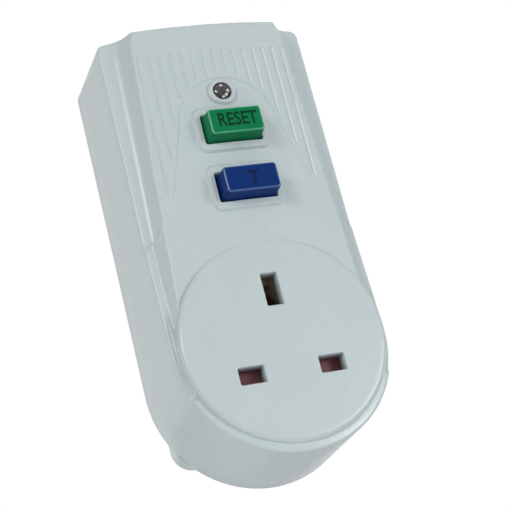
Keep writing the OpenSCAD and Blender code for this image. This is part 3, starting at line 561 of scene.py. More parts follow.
class Palette:
    """Finishes of the adapter's pieces.

    The numbers of a moulded finish are its roughness, the spread of that, mottle, grain, relief and coat, and those
    of a metal are its colours, roughness and stretch.
    """

    housing = Moulded("housing_moulding", linear(189, 201, 203), 0.27, 0.10, 0.03, 3800.0, 0.05, gloss=0.42)
    # The worn colours of the caps are paler edges: partly rubbed wear, partly painted highlight.
    reset = Moulded("reset_cap", linear(15, 118, 74), 0.38, 0.2, 0.10, 5200.0, 0.10, 0.0,
                    linear(120, 190, 150), 0.45, gloss=0.06)
    test = Moulded("test_cap", linear(17, 48, 110), 0.38, 0.2, 0.10, 5200.0, 0.10, 0.0,
                   linear(95, 120, 185), 0.45, gloss=0.05)
    # Paler, glossier finishes of the caps' rounded top edges: the paler colour paints a highlight there.
    reset_edge_painted_highlight = Moulded("reset_edge_painted_highlight", linear(40, 146, 96), 0.24, 0.1, 0.10, 5200.0, 0.05, gloss=0.75)
    test_edge_painted_highlight = Moulded("test_edge_painted_highlight", linear(44, 76, 136), 0.24, 0.1, 0.10, 5200.0, 0.05, gloss=0.75)
    reset_ink = Moulded("reset_print", linear(2, 56, 30), 0.6, 0.3, 0.2, 6000.0, 0.2, gloss=0.08)
    test_ink = Moulded("test_print", linear(12, 30, 62), 0.6, 0.3, 0.2, 6000.0, 0.2, gloss=0.08)
    lens = ClearDome("lamp_dome", linear(214, 210, 210))
    lamp_core = Moulded("lamp_core", linear(52, 40, 40), 0.3, 0.2, 0.3, 3000.0, 0.1)
    shutter = Moulded("shutter_moulding", linear(104, 50, 62), 0.5, 0.2, 0.12, 4200.0, 0.15)
    # The sleeve's paler worn edges are partly rubbed wear, partly painted highlight.
    sleeve = Moulded("pin_sleeve", linear(26, 26, 28), 0.5, 0.25, 0.25, 4200.0, 0.2, 0.0,
                     linear(70, 70, 72), 0.6)
    block = Moulded("heat_block", linear(226, 214, 186), 0.62, 0.2, 0.10, 2600.0, 0.25)
    nylon = Moulded("works_nylon", linear(226, 226, 220), 0.5, 0.2, 0.06, 3600.0, 0.15)
    package = Moulded("chip_package", linear(30, 30, 32), 0.6, 0.2, 0.2, 5200.0, 0.3)
    laminate = Moulded("board_resist", linear(30, 92, 54), 0.34, 0.2, 0.30, 1400.0, 0.2, 0.3)
    resin = Moulded("ring_resin", linear(56, 62, 64), 0.55, 0.2, 0.2, 2600.0, 0.25)
    lead = Moulded("lead_cover", linear(104, 62, 34), 0.5, 0.2, 0.15, 3600.0, 0.15)
    enamel = Moulded("coil_enamel", linear(176, 96, 44), 0.3, 0.2, 0.25, 5200.0, 0.3, 0.3)
    can_sleeve = Moulded("can_sleeve", linear(28, 34, 84), 0.32, 0.2, 0.12, 3200.0, 0.12)
    dipped = Moulded("dipped_disc", linear(40, 84, 168), 0.3, 0.2, 0.15, 1500.0, 0.25, 0.3)
    lacquer = Moulded("resistor_lacquer", linear(206, 178, 132), 0.35, 0.2, 0.15, 3000.0, 0.15, 0.2)
    pin = Metal("pin_metal", (0.72, 0.56, 0.28), (0.40, 0.27, 0.12), 0.30, (3000.0, 160.0, 3000.0))
    strip = Metal("strip_metal", (0.58, 0.40, 0.19), (0.30, 0.15, 0.09), 0.36)
    wire = Metal("spring_metal", (0.62, 0.63, 0.65), (0.36, 0.35, 0.34), 0.28, (2600.0, 2600.0, 2600.0))
    zinc = Metal("screw_metal", (0.66, 0.67, 0.68), (0.42, 0.42, 0.40), 0.30, (900.0, 900.0, 900.0))
    steel = Metal("stamped_metal", (0.56, 0.57, 0.59), (0.34, 0.33, 0.31), 0.34, (2200.0, 220.0, 2200.0))
    lamp_end = Metal("lamp_end_metal", (0.68, 0.68, 0.68), (0.34, 0.33, 0.31), 0.34, (1200.0, 1200.0, 1200.0))
    silver = Metal("contact_metal", (0.82, 0.82, 0.82), (0.42, 0.40, 0.36), 0.22, (1200.0, 1200.0, 1200.0))


@dataclass(frozen=True)
class BellPanel:
    """Smooth bell-shaped panel of the face, one step below the fluted part."""

    arch_r: float = 14.2
    arch_y: float = 70.4
    lean: float = math.radians(16)
    flare_r: float = 32.0
    flare_y: float = 55.5
    flare_end: float = math.radians(250)
    step: float = 0.35
    edge: float = 0.65

    @property
    def out(self) -> Array:
        """Direction out of the straight side."""
        return np.array([math.cos(self.lean), math.sin(self.lean)])

    @property
    def down(self) -> Array:
        """Direction down the straight side."""
        return np.array([math.sin(self.lean), -math.cos(self.lean)])

    @property
    def touch(self) -> Array:
        """Point where the arch meets the straight side."""
        return np.array([0.0, self.arch_y]) + self.arch_r * self.out

    @property
    def side(self) -> float:
        """Length of the straight side."""
        return (self.touch[1] - self.flare_y) / math.cos(self.lean)

    @property
    def flare(self) -> Array:
        """Centre of the flared foot."""
        return self.touch + self.side * self.down + self.flare_r * self.out

    def distance(self, x: Array, y: Array) -> Array:
        """Distance outside the panel's outline, negative inside."""
        px, py = np.abs(x) - self.touch[0], y - self.touch[1]
        along = px * self.down[0] + py * self.down[1]
        arch = np.hypot(x, y - self.arch_y) - self.arch_r
        side = px * self.out[0] + py * self.out[1]
        foot = self.flare_r - np.hypot(np.abs(x) - self.flare[0], y - self.flare[1])
        return np.where(along < 0, arch, np.where(along < self.side, side, foot))

    def rail(self, offset: float, gap: float) -> Array:
        """Points along the outline, drawn out by an offset.

        Args:
            offset: How far outside the outline the points lie.
            gap: Distance between them.

        Returns:
            Points of both halves.
        """
        turn = np.arange(math.pi / 2, self.lean, -gap / self.arch_r)
        arch = np.array([0, self.arch_y]) + (self.arch_r + offset) * np.column_stack([np.cos(turn), np.sin(turn)])
        along = np.arange(0, self.side, gap)[:, None]
        side = self.touch + offset * self.out + along * self.down
        turn = np.arange(math.pi + self.lean, self.flare_end, gap / self.flare_r)
        foot = self.flare + (self.flare_r - offset) * np.column_stack([np.cos(turn), np.sin(turn)])
        return mirrored(np.concatenate([arch, side, foot]))


@dataclass(frozen=True)
class Opening:
    """Round or rectangular outline on the face, as of a hole with a softened edge."""

    centre: Pair
    size: Pair
    corner: float
    edge: float
    taper: float = 0.0

    def ring(self, grow: float, step: float = 0.6) -> Array:
        """Points round the hole, drawn out by grow."""
        if self.corner * 2 >= self.size[0]:
            return circle_ring(self.centre, self.size[0] / 2 + grow, 56)
        return self.drawn(grow, (round(self.size[0] / step), round(self.size[1] / step)))

    def drawn(self, grow: float, counts: tuple[int, int], arc: int = 5) -> Array:
        """Points round a rectangular outline, drawn out by grow, as `rect_ring` spreads them."""
        size = (self.size[0] + 2 * grow, self.size[1] + 2 * grow)
        return rect_ring(self.centre, size, max(self.corner + grow, 0.05), counts, arc)

    def distance(self, x: Array, y: Array) -> Array:
        """Distance outside the hole's outline, negative inside."""
        dx = np.abs(x - self.centre[0]) - self.size[0] / 2 + self.corner
        dy = np.abs(y - self.centre[1]) - self.size[1] / 2 + self.corner
        return (np.hypot(np.maximum(dx, 0), np.maximum(dy, 0)) + np.minimum(np.maximum(dx, dy), 0) - self.corner)


def spread(groups: Iterable[tuple[Array, float]], fixed: Sequence[Array],
           allowed: Callable[[Array], Array]) -> Array:
    """Gathers plan points, each group kept clear of the fixed loops and of the groups before it.

    Args:
        groups: Points of each group, and their least distance to earlier points.
        fixed: Loops that all groups stay clear of.
        allowed: Tells which points may be used.

    Returns:
        The points that are left of all groups.
    """
    kept = list(fixed)
    for points, gap in groups:
        points = points[allowed(points)]
        known = np.concatenate(kept)
        tree = KDTree(len(known))
        for number, (x, y) in enumerate(known):
            tree.insert((x, y, 0.0), number)
        tree.balance()
        kept.append(points[np.array([tree.find((x, y, 0.0))[2] >= gap for x, y in points], bool)])
    return np.concatenate(kept[len(fixed):])


def grid(across: Array, up: Array) -> Array:
    """Plan points at every crossing of two rows of values."""
    return np.stack(np.meshgrid(across, up), axis=-1).reshape(-1, 2)


def mirrored(points: Array) -> Array:
    """Plan points together with their mirror images on the other side."""
    return np.concatenate([points, points * [-1, 1]])


@dataclass(frozen=True)
class FrontForm:
    """Sizes of the front moulding."""

    half_w: float = 30.2
    top_y: float = 101.4
    draft: float = math.radians(1.1)
    corner_r: float = 2.5
    least_corner: float = 0.15
    shoulder_d: float = 33.8
    ring_d: float = 36.3
    ring_r: float = 29.35
    face_d: float = 40.0
    side_round: float = 0.8
    end_round: float = 0.7
    top_round: float = 1.2
    face_half: float = 24.15
    face_flare: float = math.radians(2.1)
    face_corner: float = 1.2
    corner_reach: float = 6.0
    cove_x: float = 28.747
    cove_slope: float = math.radians(68)
    cove_crest: float = 0.7
    cove_least: float = 0.2
    crown_r: float = 145.0
    crown_top: float = 41.5
    crown_tilt: float = math.radians(1.05)
    crown_ease: float = 0.35
    crown_rows: Pair = (24.0, 54.0)
    flank_x: float = 28.1
    flank_y: float = 48.0
    flank_d: float = 33.7
    flank_r: float = 1.2
    flank_slope: float = math.radians(54)
    flank_crest: float = 0.25
    flank_climb: float = 0.0666
    flank_drop: float = 6.0
    flank_blend: float = 0.6
    skirt_low: float = 14.0
    skirt_high: float = 41.0
    skirt_stand: float = 0.35
    skirt_ease: float = 2.3
    flute_count: int = 15
    flute_pitch: float = 3.0
    flute_half: float = 0.64
    flute_depth: float = 0.42
    flute_top: float = 92.5
    flute_fade: Pair = (0.75, 1.25)
    disc_y: float = 8.8
    disc_r: float = 28.2
    disc_edge: float = 1.5
    disc_fillet: float = 1.6
    disc_stand: Pair = (0.6, 2.0)
    pad_half: Pair = (10.0, 6.6)
    pad_corner: float = 2.2
    pad_rise: float = 0.95
    pad_edge: Pair = (-0.6, 0.3)
    collar_r: float = 4.0
    collar_d: float = 41.6
    collar_edge: float = 0.8
    collar_blend: float = 0.25
    boss_lip: float = 0.06
    boss_slope: float = 60.0
    recess_in: float = 2.16
    cavity_in: float = 2.96
    ledge_d: float = 31.7
    ceiling_d: float = 35.8
    guide_d: float = 32.7
    guide_rim: float = 1.5
    well_r: float = 25.3
    cavity_half: float = 18.85
    cavity_top: float = 98.44
    screw_boss: tuple[float, ...] = (3.0, 3.0, 3.0, 3.0, 2.6)
    screw_bore: float = 1.5


@dataclass(frozen=True)
class SkinRows:
    """Offsets and gaps of the rows of points that follow the features of the front skin."""

    hole: tuple[float, ...] = (0.12, 0.35, 0.7, 1.0, 1.5)
    disc: tuple[float, ...] = (-1.4, -1.1, -0.85, -0.62, -0.44, -0.3, -0.18, -0.1, -0.05, 0.0, 0.05, 0.12, 0.3)
    collar: tuple[float, ...] = (-0.8, -0.6, -0.42, -0.28, -0.17, -0.08, -0.03, 0.03, 0.1, 0.22, 0.4)
    pad: tuple[float, ...] = (-0.65, -0.52, -0.4, -0.28, -0.15, -0.03, 0.1, 0.22, 0.35)
    bell: tuple[float, ...] = (-0.8, -0.65, -0.52, -0.4, -0.28, -0.15, 0.0, 0.15)
    bell_gap: float = 0.45
    cove_gap: float = 0.8
    crest: Pair = (-1.4, 1.0)
    cove_past: float = 0.5
    cove_count: int = 15
    flute_half: float = 0.6
    flute_low: float = 38.0
    flute_clear: float = 0.4


@dataclass
class FrontCover:
    """Deep front moulding with the face, coves, flutes, bell panel, pads, collar and socket end."""

    form: FrontForm = FrontForm()
    rows: SkinRows = SkinRows()
    bell: BellPanel = BellPanel()
    button: Pair = (16.3, 8.6)
    pole_slot: Pair = (7.1, 4.6)
    earth_slot: Pair = (4.6, 9.0)
    lamp_hole: Pair = (5.2, 5.2)

    @property
    def openings(self) -> list[Opening]:
        """Slots, lamp hole and button holes."""
        slots = [((-POLE_X, 0), self.pole_slot), ((POLE_X, 0), self.pole_slot), ((0, EARTH_Y), self.earth_slot)]
        return [*(Opening(centre, size, corner=0.35, edge=0.3, taper=0.12) for centre, size in slots),
                Opening((0, LAMP_Y), self.lamp_hole, corner=self.lamp_hole[0] / 2, edge=0.25),
                *(Opening((0, y), self.button, corner=0.5, edge=0.2) for y in (RESET_Y, TEST_Y))]

    @property
    def pads(self) -> list[Opening]:
        """Outlines of the two button pads."""
        size = (2 * self.form.pad_half[0], 2 * self.form.pad_half[1])
        return [Opening((0, y), size, corner=self.form.pad_corner, edge=0) for y in (RESET_Y, TEST_Y)]

    def _crown(self, x: Array, y: Array) -> Array:
        """Height of the crowned face before its details."""
        form = self.form
        fall = form.crown_r - np.sqrt(np.maximum(form.crown_r ** 2 - x * x, 0))
        fall = fall * (1 - form.crown_ease * (1 - eased(*form.crown_rows, y)))
        return form.crown_top - (form.top_y - y) * math.tan(form.crown_tilt) - fall

    def _flutes(self, x: Array, y: Array) -> Array:
        """Depth that the flutes cut from the face."""
        form = self.form
        across = form.crown_r * np.arcsin(np.clip(x / form.crown_r, -1, 1))
        last = (form.flute_count - 1) / 2
        u = across - form.flute_pitch * np.clip(np.round(across / form.flute_pitch), -last, last)
        v = np.maximum(y - form.flute_top, 0)
        bite = form.flute_depth * (1 - eased(0, form.flute_half, np.hypot(u, v)))
        return bite * eased(*form.flute_fade, self.bell.distance(x, y))

    def _edge(self, y: Array) -> Array:
        """Half width of the raised face at the level of the shoulders."""
        form = self.form
        down = form.top_y - y
        turn = np.clip(1 - down / form.corner_reach, 0, 1) ** 2
        return form.face_half + down * math.tan(form.face_flare) - form.face_corner * turn

    def _cove(self, x: Array, y: Array) -> Array:
        """Height of the face's side over the shoulder: a tapering hollow cove under a straight slope."""
        form = self.form
        radius = np.maximum(form.cove_x - self._edge(y), form.cove_least) / math.tan(form.cove_slope / 2)
        return self._hollow(form.cove_x - np.abs(x), radius, form.cove_slope)

    @staticmethod
    def _hollow(inside: Array, radius: float | Array, slope: float) -> Array:
        """Height of a hollow round under a straight slope, at a distance inside its foot."""
        inside = np.maximum(inside, 0)
        touch = radius * math.sin(slope)
        hollow = radius - np.sqrt(np.maximum(radius ** 2 - np.minimum(inside, touch) ** 2, 0))
        return hollow + np.maximum(inside - touch, 0) * math.tan(slope)

    @staticmethod
    def _reach(x: Array, y: Array) -> Array:
        """Distance from the middle line, or below it from the centre of the round end."""
        return np.hypot(x, np.minimum(y - END_Y, 0))

    def _shoulder(self, x: Array, y: Array) -> Array:
        """Height of the shoulders, which climb below the bell's foot to the ring round the socket disc."""
        form = self.form
        climb = np.clip((form.skirt_high - y) / (form.skirt_high - form.skirt_low), 0, 1) ** form.skirt_ease
        lean = np.clip((form.ring_r - self._reach(x, y)) / (form.ring_r - form.disc_r), 0, 1)
        rise = form.skirt_stand + climb * lean * (form.ring_d - form.shoulder_d - form.skirt_stand)
        return form.shoulder_d + rise * self._inside(x, y)

    def _flank(self, x: Array, y: Array) -> Array:
        """Height of the gentler cove that takes over below the edge of the bell panel."""
        form = self.form
        climb = (form.flank_y - np.maximum(y, END_Y)) * form.flank_climb
        hollow = self._hollow(form.flank_x - self._reach(x, y), form.flank_r, form.flank_slope)
        return form.flank_d + climb + hollow - form.flank_drop * (1 - self._inside(x, y))

    def _inside(self, x: Array, y: Array) -> Array:
        """Share of the bell panel's step at a place."""
        return 1 - eased(-self.bell.edge, 0.0, self.bell.distance(x, y))

    def height(self, x: Array, y: Array) -> Array:
        """Height of the front skin.

        Args:
            x: Places across the housing.
            y: Places up it.

        Returns:
            d of the skin there.
        """
        form = self.form
        inside = self._inside(x, y)
        face = self._crown(x, y) - self._flutes(x, y) - self.bell.step * inside
        shoulder = self._shoulder(x, y)
        flank = self._soft_max(self._flank(x, y), shoulder, form.flank_blend)
        side = np.maximum(form.shoulder_d + self._cove(x, y), flank)
        crest = form.cove_crest + (form.flank_crest - form.cove_crest) * inside
        skin = np.maximum(-self._soft_max(-face, -side, crest), shoulder)
        for pad in self.pads:
            skin = skin + form.pad_rise * (1 - eased(*form.pad_edge, pad.distance(x, y)))
        collar = self._turned(np.hypot(x, y - LAMP_Y), form.collar_r, form.collar_d, form.collar_edge)
        skin = self._soft_max(skin, collar, form.collar_blend)
        disc = self._turned(np.hypot(x, y - form.disc_y), form.disc_r, form.face_d, form.disc_edge)
        fillet = form.disc_fillet * eased(*form.disc_stand, form.face_d - skin)
        skin = self._soft_max(skin, disc, np.maximum(fillet, 0.001))
        for hole in self.openings:
            reach = hole.edge - np.clip(hole.distance(x, y), 0, hole.edge)
            skin = skin - hole.edge + np.sqrt(np.maximum(hole.edge ** 2 - reach ** 2, 0))
        return skin

    def _turned(self, r: Array, radius: float, top: float, edge: float) -> Array:
        """Height of a turned boss with a rounded rim and a steep wall, very low outside it."""
        rim = top - edge + np.sqrt(np.maximum(edge ** 2 - np.clip(r - radius + edge, 0, edge) ** 2, 0))
        return rim - np.clip(r - radius + self.form.boss_lip, 0, None) * self.form.boss_slope

    @staticmethod
    def _soft_max(a: Array, b: Array, blend: float | Array) -> Array:
        """Larger of two heights, with the corner between them filled."""
        share = np.clip(0.5 + 0.5 * (a - b) / blend, 0, 1)
        return b + (a - b) * share + blend * share * (1 - share)

    def _stations(self) -> tuple[Array, ...]:
        """Places round the outline: share along x, share down the round end, corner turn and base height."""
        form = self.form
        high = form.top_y - form.corner_r
        level = np.linspace(END_Y, high, 84)
        corner = np.radians(np.linspace(0, 90, 9))[1:-1]
        across = np.linspace(1, -1, 121)
        end = np.radians(np.linspace(180, 360, 181))[1:-1]
        one = np.ones_like
        # Each row runs up the right side, over the top, down the left side and round the end.
        along = [one(level), one(corner), across, -one(corner), -one(level), np.cos(end)]
        lift = [0 * level, 0 * corner, 0 * across, 0 * corner, 0 * level, np.sin(end)]
        cos_a = [one(level), np.cos(corner), 0 * across, -np.cos(corner[::-1]), -one(level), np.cos(end)]
        sin_a = [0 * level, np.sin(corner), one(across), np.sin(corner[::-1]), 0 * level, np.sin(end)]
        base = [level, *(high + 0 * part for part in (corner, across, corner)), level[::-1], END_Y + 0 * end]
        return tuple(np.concatenate(parts) for parts in (along, lift, cos_a, sin_a, base))

    def outline(self, d: float | Array, inset: float | Array) -> Array:
        """Outline of the drafted wall.

        Args:
            d: Depth, one for all places or one for each.
            inset: How far inside the wall the outline lies.

        Returns:
            Plan points, anticlockwise from the right-hand end of the straight side.
        """
        form = self.form
        along, lift, cos_a, sin_a, base = self._stations()
        half = form.half_w - (d - RIM_D) * math.tan(form.draft) - inset
        corner = np.maximum(form.corner_r - inset, form.least_corner)
        start = np.where(lift < 0, base, np.minimum(base, form.top_y - inset - corner))
        return np.column_stack([along * (half - corner) + cos_a * corner,
                                start + lift * (half - corner) + sin_a * corner])

    def _cove_points(self) -> Array:
        """Points across the crest and the hollow of both coves."""
        form, rows = self.form, self.rows
        level = np.arange(END_Y - 4, form.top_y, rows.cove_gap)
        edge = self._edge(level)
        drop = np.maximum(self._crown(edge, level) - self._shoulder(edge, level), 0)
        crest = (edge - drop / math.tan(form.cove_slope))[:, None]
        start = crest + rows.crest[1]
        bowl = start + (form.cove_x + rows.cove_past - start) * np.linspace(0, 1, rows.cove_count)[1:]
        side = np.concatenate([crest + np.linspace(*rows.crest, rows.cove_count), bowl], axis=1)
        return mirrored(np.column_stack([side.ravel(), np.repeat(level, side.shape[1])]))

    def _flute_points(self) -> Array:
        """Points across and along the flutes."""
        form, rows = self.form, self.rows
        last = (form.flute_count - 1) / 2
        middle = form.flute_pitch * np.arange(-last, last + 1)
        turn = (middle[:, None] + np.linspace(-rows.flute_half, rows.flute_half, 9)).ravel() / form.crown_r
        up = [np.arange(rows.flute_low, form.flute_top, 1.0), form.flute_top + np.linspace(0, rows.flute_half, 7)]
        points = grid(form.crown_r * np.sin(turn), np.concatenate(up))
        return points[self.bell.distance(points[:, 0], points[:, 1]) > rows.flute_clear]

    def _loose(self, allowed: Callable[[Array], Array], rings: Sequence[Array]) -> Array:
        """Places points of the front skin along its features.

        Args:
            allowed: Tells which places lie on the skin.
            rings: Fixed loops that bound the skin.

        Returns:
            The points.
        """
        form, rows = self.form, self.rows
        joined = np.concatenate
        groups = [
            (joined([hole.ring(share * hole.edge, 0.5) for hole in self.openings for share in rows.hole]), 0.015),
            (joined([circle_ring((0, form.disc_y), form.disc_r + grow, 300) for grow in rows.disc]), 0.04),
            (joined([circle_ring((0, LAMP_Y), form.collar_r + grow, 72) for grow in rows.collar]), 0.04),
            *((joined([pad.drawn(grow, (30, 17), 9) for grow in rows.pad]), 0.1) for pad in self.pads),
            (joined([self.bell.rail(offset, rows.bell_gap) for offset in rows.bell]), 0.05),
            (self._cove_points(), 0.09),
            (self._flute_points(), 0.07),
            (grid(np.arange(-30, 30.1, 1.0), np.arange(-22, 102, 1.0)), 0.5),
        ]
        return spread(groups, rings, allowed)

    def _skin(self, shell: Shell) -> tuple[Array, list[Array], tuple[Array, Array]]:
        """Lays the front skin.

        Args:
            shell: The piece that takes it.

        Returns:
            Its outer loop, the loops of its holes, and some of its points with their outward directions.
        """
        plan = self.outline(self.form.shoulder_d, self._rounding())
        holes = [hole.ring(0) for hole in self.openings]

        def allowed(points: Array) -> Array:
            """Tells which points are on the skin."""
            keep = within(points, plan)
            for ring in holes:
                keep &= ~within(points, ring)
            return keep

        loose = self._loose(allowed, [plan, *holes])
        outer, *rims, inner = [shell.loop(part, self.height(*part.T)) for part in (plan, *holes, loose)]
        shell.lid([outer, *rims], inner)
        small = 0.02
        x, y = loose.T
        slope_x = (self.height(x + small, y) - self.height(x - small, y)) / (2 * small)
        slope_y = (self.height(x, y + small) - self.height(x, y - small)) / (2 * small)
        ways = np.column_stack([-slope_x, -slope_y, np.ones(len(x))])
        return outer, rims, (inner, ways / np.linalg.norm(ways, axis=1, keepdims=True))

    def _rounding(self) -> Array:
        """Radius of the rounding between wall and skin, at each place of the outline."""
        form = self.form
        _, _, _, sin_a, base = self._stations()
        side = form.end_round + (form.side_round - form.end_round) * eased(form.skirt_low, form.skirt_high, base)
        return side + (form.top_round - side) * np.clip(sin_a, 0, 1)

    def _wall(self, shell: Shell, last: Array) -> Array:
        """Runs the wall from the skin's outer loop round the back rim to the ledge inside, and returns its end."""
        form = self.form
        radius = self._rounding()
        top = self.height(*self.outline(form.shoulder_d, radius).T)
        for turn in np.radians([15, 30, 45, 60, 75, 90]):
            depth = top - radius + radius * math.cos(turn)
            last = shell.band(last, shell.loop(self.outline(depth, radius * (1 - math.sin(turn))), depth))
        for depth, inset in ((28, 0), (21, 0), (13, 0), (5.5, 0), (5.15, 0.1), (RIM_D, 0.35)):
            last = shell.band(last, shell.loop(self.outline(depth, inset), depth))
        for depth, inset in ((RIM_D, form.recess_in), (PLATE_D, form.recess_in), (PLATE_D, form.cavity_in),
                             (form.ledge_d, form.cavity_in)):
            last = shell.band(last, shell.loop(self.outline(RIM_D, inset), depth))
        return last

    def build(self, kit: ShaderKit) -> None:
        """Builds, dresses and ties the front cover."""
        form = self.form
        shell = Shell()
        outer, rims, known = self._skin(shell)
        ledge = self._wall(shell, outer)
        ceiling = self._ceiling()
        low, high = shell.stack([(ceiling, form.ledge_d), (ceiling, form.ceiling_d)])
        shell.lid([ledge, low])
        ends = []
        for hole, rim in zip(self.openings, rims):
            if hole.size == self.button:
                guide = hole.ring(form.guide_rim)
                foot = shell.band(rim, shell.loop(hole.ring(0), form.guide_d))
                rest = shell.loop(guide, form.guide_d)
                ends.append(shell.band(rest, shell.loop(guide, form.ceiling_d)))
                shell.lid([rest, foot])
            else:
                ends.append(shell.band(rim, shell.loop(hole.ring(-hole.taper), form.ceiling_d)))
        shell.lid([high, *ends])
        for spot, radius in zip(SCREW_SPOTS, form.screw_boss):
            shell.tube(spot, radius, form.screw_bore, PLATE_D, form.ledge_d + 0.2)
        piece = shell.piece("front_moulding", 35, known)
        dressed(piece.data, kit, Palette.housing)
        finished(piece, Body.HOUSING, Slot.HOUSING, "front_cover")

    def _ceiling(self) -> Array:
        """Plan of the hollow under the face: the round well with the straight part above it."""
        form = self.form
        foot = math.acos(form.cavity_half / form.well_r)
        turn = np.linspace(math.pi - foot, 2 * math.pi + foot, 120)
        well = np.column_stack([form.well_r * np.cos(turn), form.disc_y + form.well_r * np.sin(turn)])
        level = np.linspace(form.disc_y + form.well_r * math.sin(foot), form.cavity_top, 40)[1:]
        return np.concatenate([well, arcade(form.cavity_half, level, 24)])


@dataclass
class PushButton:
    """Moulded cap with a drafted top, a skirt, a stop flange and a stem, and its printed mark."""

    node: str
    body: Body
    slot: Slot
    finishes: tuple[Moulded, Moulded]
    ink: Moulded
    middle_y: float
    stem_d: float
    mark: str
    mark_size: Pair
    mark_shift: Pair
    shift: Pair
    size: Pair = (15.4, 7.8)
    foot_d: float = 41.0
    top_d: float = 45.9
    draft: float = math.radians(3)
    edge: float = 0.42
    corner: float = 0.9
    flange: Pair = (30.4, 32.4)
    flange_rim: float = 1.5
    flange_edge: float = 0.15
    top_in: float = 0.5
    stem_r: float = 2.2
    tip: float = 0.2
    ink_d: Pair = (-0.02, 0.03)

    def _ring(self, grow: float, d: float) -> Array:
        """Outline of the flange or of the cap, drawn out by grow."""
        size = (self.size[0] + 2 * grow, self.size[1] + 2 * grow)
        ring = rect_ring((0, self.middle_y), size, max(self.corner + 0.4 * grow, 0.2), (14, 7))
        return ring + self.shift if d > self.flange[1] else ring

    def _profile(self) -> list[Pair]:
        """Growth and depth of each ring, from the back of the flange to the top of the cap."""
        (low, high), rim, soft = self.flange, self.flange_rim, self.flange_edge
        rows = [(rim - soft, low), (rim, low + soft), (rim, high - soft), (rim - soft, high), (0.0, high),
                (0.0, self.foot_d)]
        shoulder = self.top_d - self.edge
        rows += [(-(d - self.foot_d) * math.tan(self.draft), d) for d in (42.4, 43.8, shoulder)]
        wall = rows[-1][0]
        for turn in np.radians([20, 40, 60, 75, 90]):
            rows.append((wall - self.edge * (1 - math.cos(turn)), shoulder + self.edge * math.sin(turn)))
        return [*rows, (wall - self.edge - self.top_in, self.top_d)]

    def build(self, kit: ShaderKit) -> None:
        """Builds, dresses and ties the button and its mark."""
        shell = Shell()
        first, last = shell.stack((self._ring(grow, d), d) for grow, d in self._profile())
        shell.lid([last])
        stem, tip = shell.stack((circle_ring((0, self.middle_y), r, 40), d) for r, d in (
            (self.stem_r, self.flange[0]), (self.stem_r, self.stem_d + self.tip),
            (self.stem_r - self.tip, self.stem_d)))
        shell.lid([first, stem])
        shell.lid([tip])
        piece = shell.piece(self.node + "_cap", 40)
        dressed(piece.data, kit, *self.finishes)
        # The rounded band round the top takes the second finish, whose paler colour paints a highlight along the
        # edge.
        for polygon in piece.data.polygons:
            depth = -polygon.center.y / MM
            polygon.material_index = int(self.top_d - self.edge < depth < self.top_d - 0.001)
        finished(piece, self.body, self.slot, self.node)
        self._print(kit)

    def _print(self, kit: ShaderKit) -> None:
        """Prints the button's mark on its top, as thin closed lettering."""
        curve = bpy.data.curves.new(self.node + "_letters", "FONT")
        curve.body, curve.align_x, curve.align_y = self.mark, "CENTER", "CENTER"
        curve.size, curve.extrude, curve.resolution_u, curve.offset = 1.0, 0.02, 6, 0.02
        mesh = plain_mesh(linked(self.node + "_letters", curve))
        bpy.data.curves.remove(curve)
        points = np.array([tuple(v.co) for v in mesh.vertices])
        low, high = points.min(axis=0), points.max(axis=0)
        middle, spread_out = (low + high) / 2, high - low
        points[:, :2] = (points[:, :2] - middle[:2]) * self.mark_size / spread_out[:2] + self.mark_shift
        points[:, 1] += self.middle_y
        points[:, 2] = self.top_d + np.where(points[:, 2] > middle[2], self.ink_d[1], self.ink_d[0])
        mesh.vertices.foreach_set("co", placed(points).ravel())
        rework(mesh, lambda work: bmesh.ops.remove_doubles(work, verts=work.verts, dist=1e-7))
        mesh.name = self.node + "_mark"
        dressed(mesh, kit, self.ink)
        finished(linked(self.node + "_mark", mesh), self.body, Slot.INK)


@dataclass
class IndicatorLamp:
    """Clear lamp dome over a dark cup with bright metal ends."""

    lens_r: float = 2.5
    base_d: float = 32.0
    flange_r: float = 2.9
    flange_d: float = 33.0
    rim_d: float = 41.5
    crown_r: float = 5.5
    cup: tuple[Pair, ...] = ((2.3, 33.4), (2.3, 40.4), (2.0, 40.7))
    end_ring: float = 1.5
    end: tuple[Pair, ...] = ((0.5, 40.5), (0.5, 41.1), (0.35, 41.2))

    def _dome(self) -> list[Pair]:
        """Profile of the lens's shallow crown, from its rim to the axis."""
        middle = self.rim_d - math.sqrt(self.crown_r ** 2 - self.lens_r ** 2)
        return [(r, middle + math.sqrt(self.crown_r ** 2 - r * r)) for r in np.linspace(self.lens_r - 0.1, 0.15, 9)]

    def build(self, kit: ShaderKit) -> None:
        """Builds, dresses and ties the lamp."""
        lens = Shell()
        profile = [(self.flange_r, self.base_d), (self.flange_r, self.flange_d), (self.lens_r, self.flange_d),
                   (self.lens_r, self.rim_d - 0.1), *self._dome()]
        lens.plug((circle_ring((0, LAMP_Y), r, 48), d) for r, d in profile)
        piece = lens.piece("lamp_lens", 30)
        dressed(piece.data, kit, Palette.lens)
        finished(piece, Body.HOUSING, Slot.LENS, "indicator_lens")
        core = Shell()
        core.plug((circle_ring((0, LAMP_Y), r, 48), d) for r, d in self.cup)
        for spot in circle_ring((0, LAMP_Y), self.end_ring, 4):
            core.plug((circle_ring(spot, r, 16), d) for r, d in self.end)
        seat = core.piece("lamp_core", 40)
        dressed(seat.data, kit, Palette.lamp_core, Palette.lamp_end)
        for face in seat.data.polygons:
            face.material_index = int(-face.center.y / MM > self.cup[-1][1] + 0.05)
        finished(seat, Body.HOUSING, Slot.LENS)


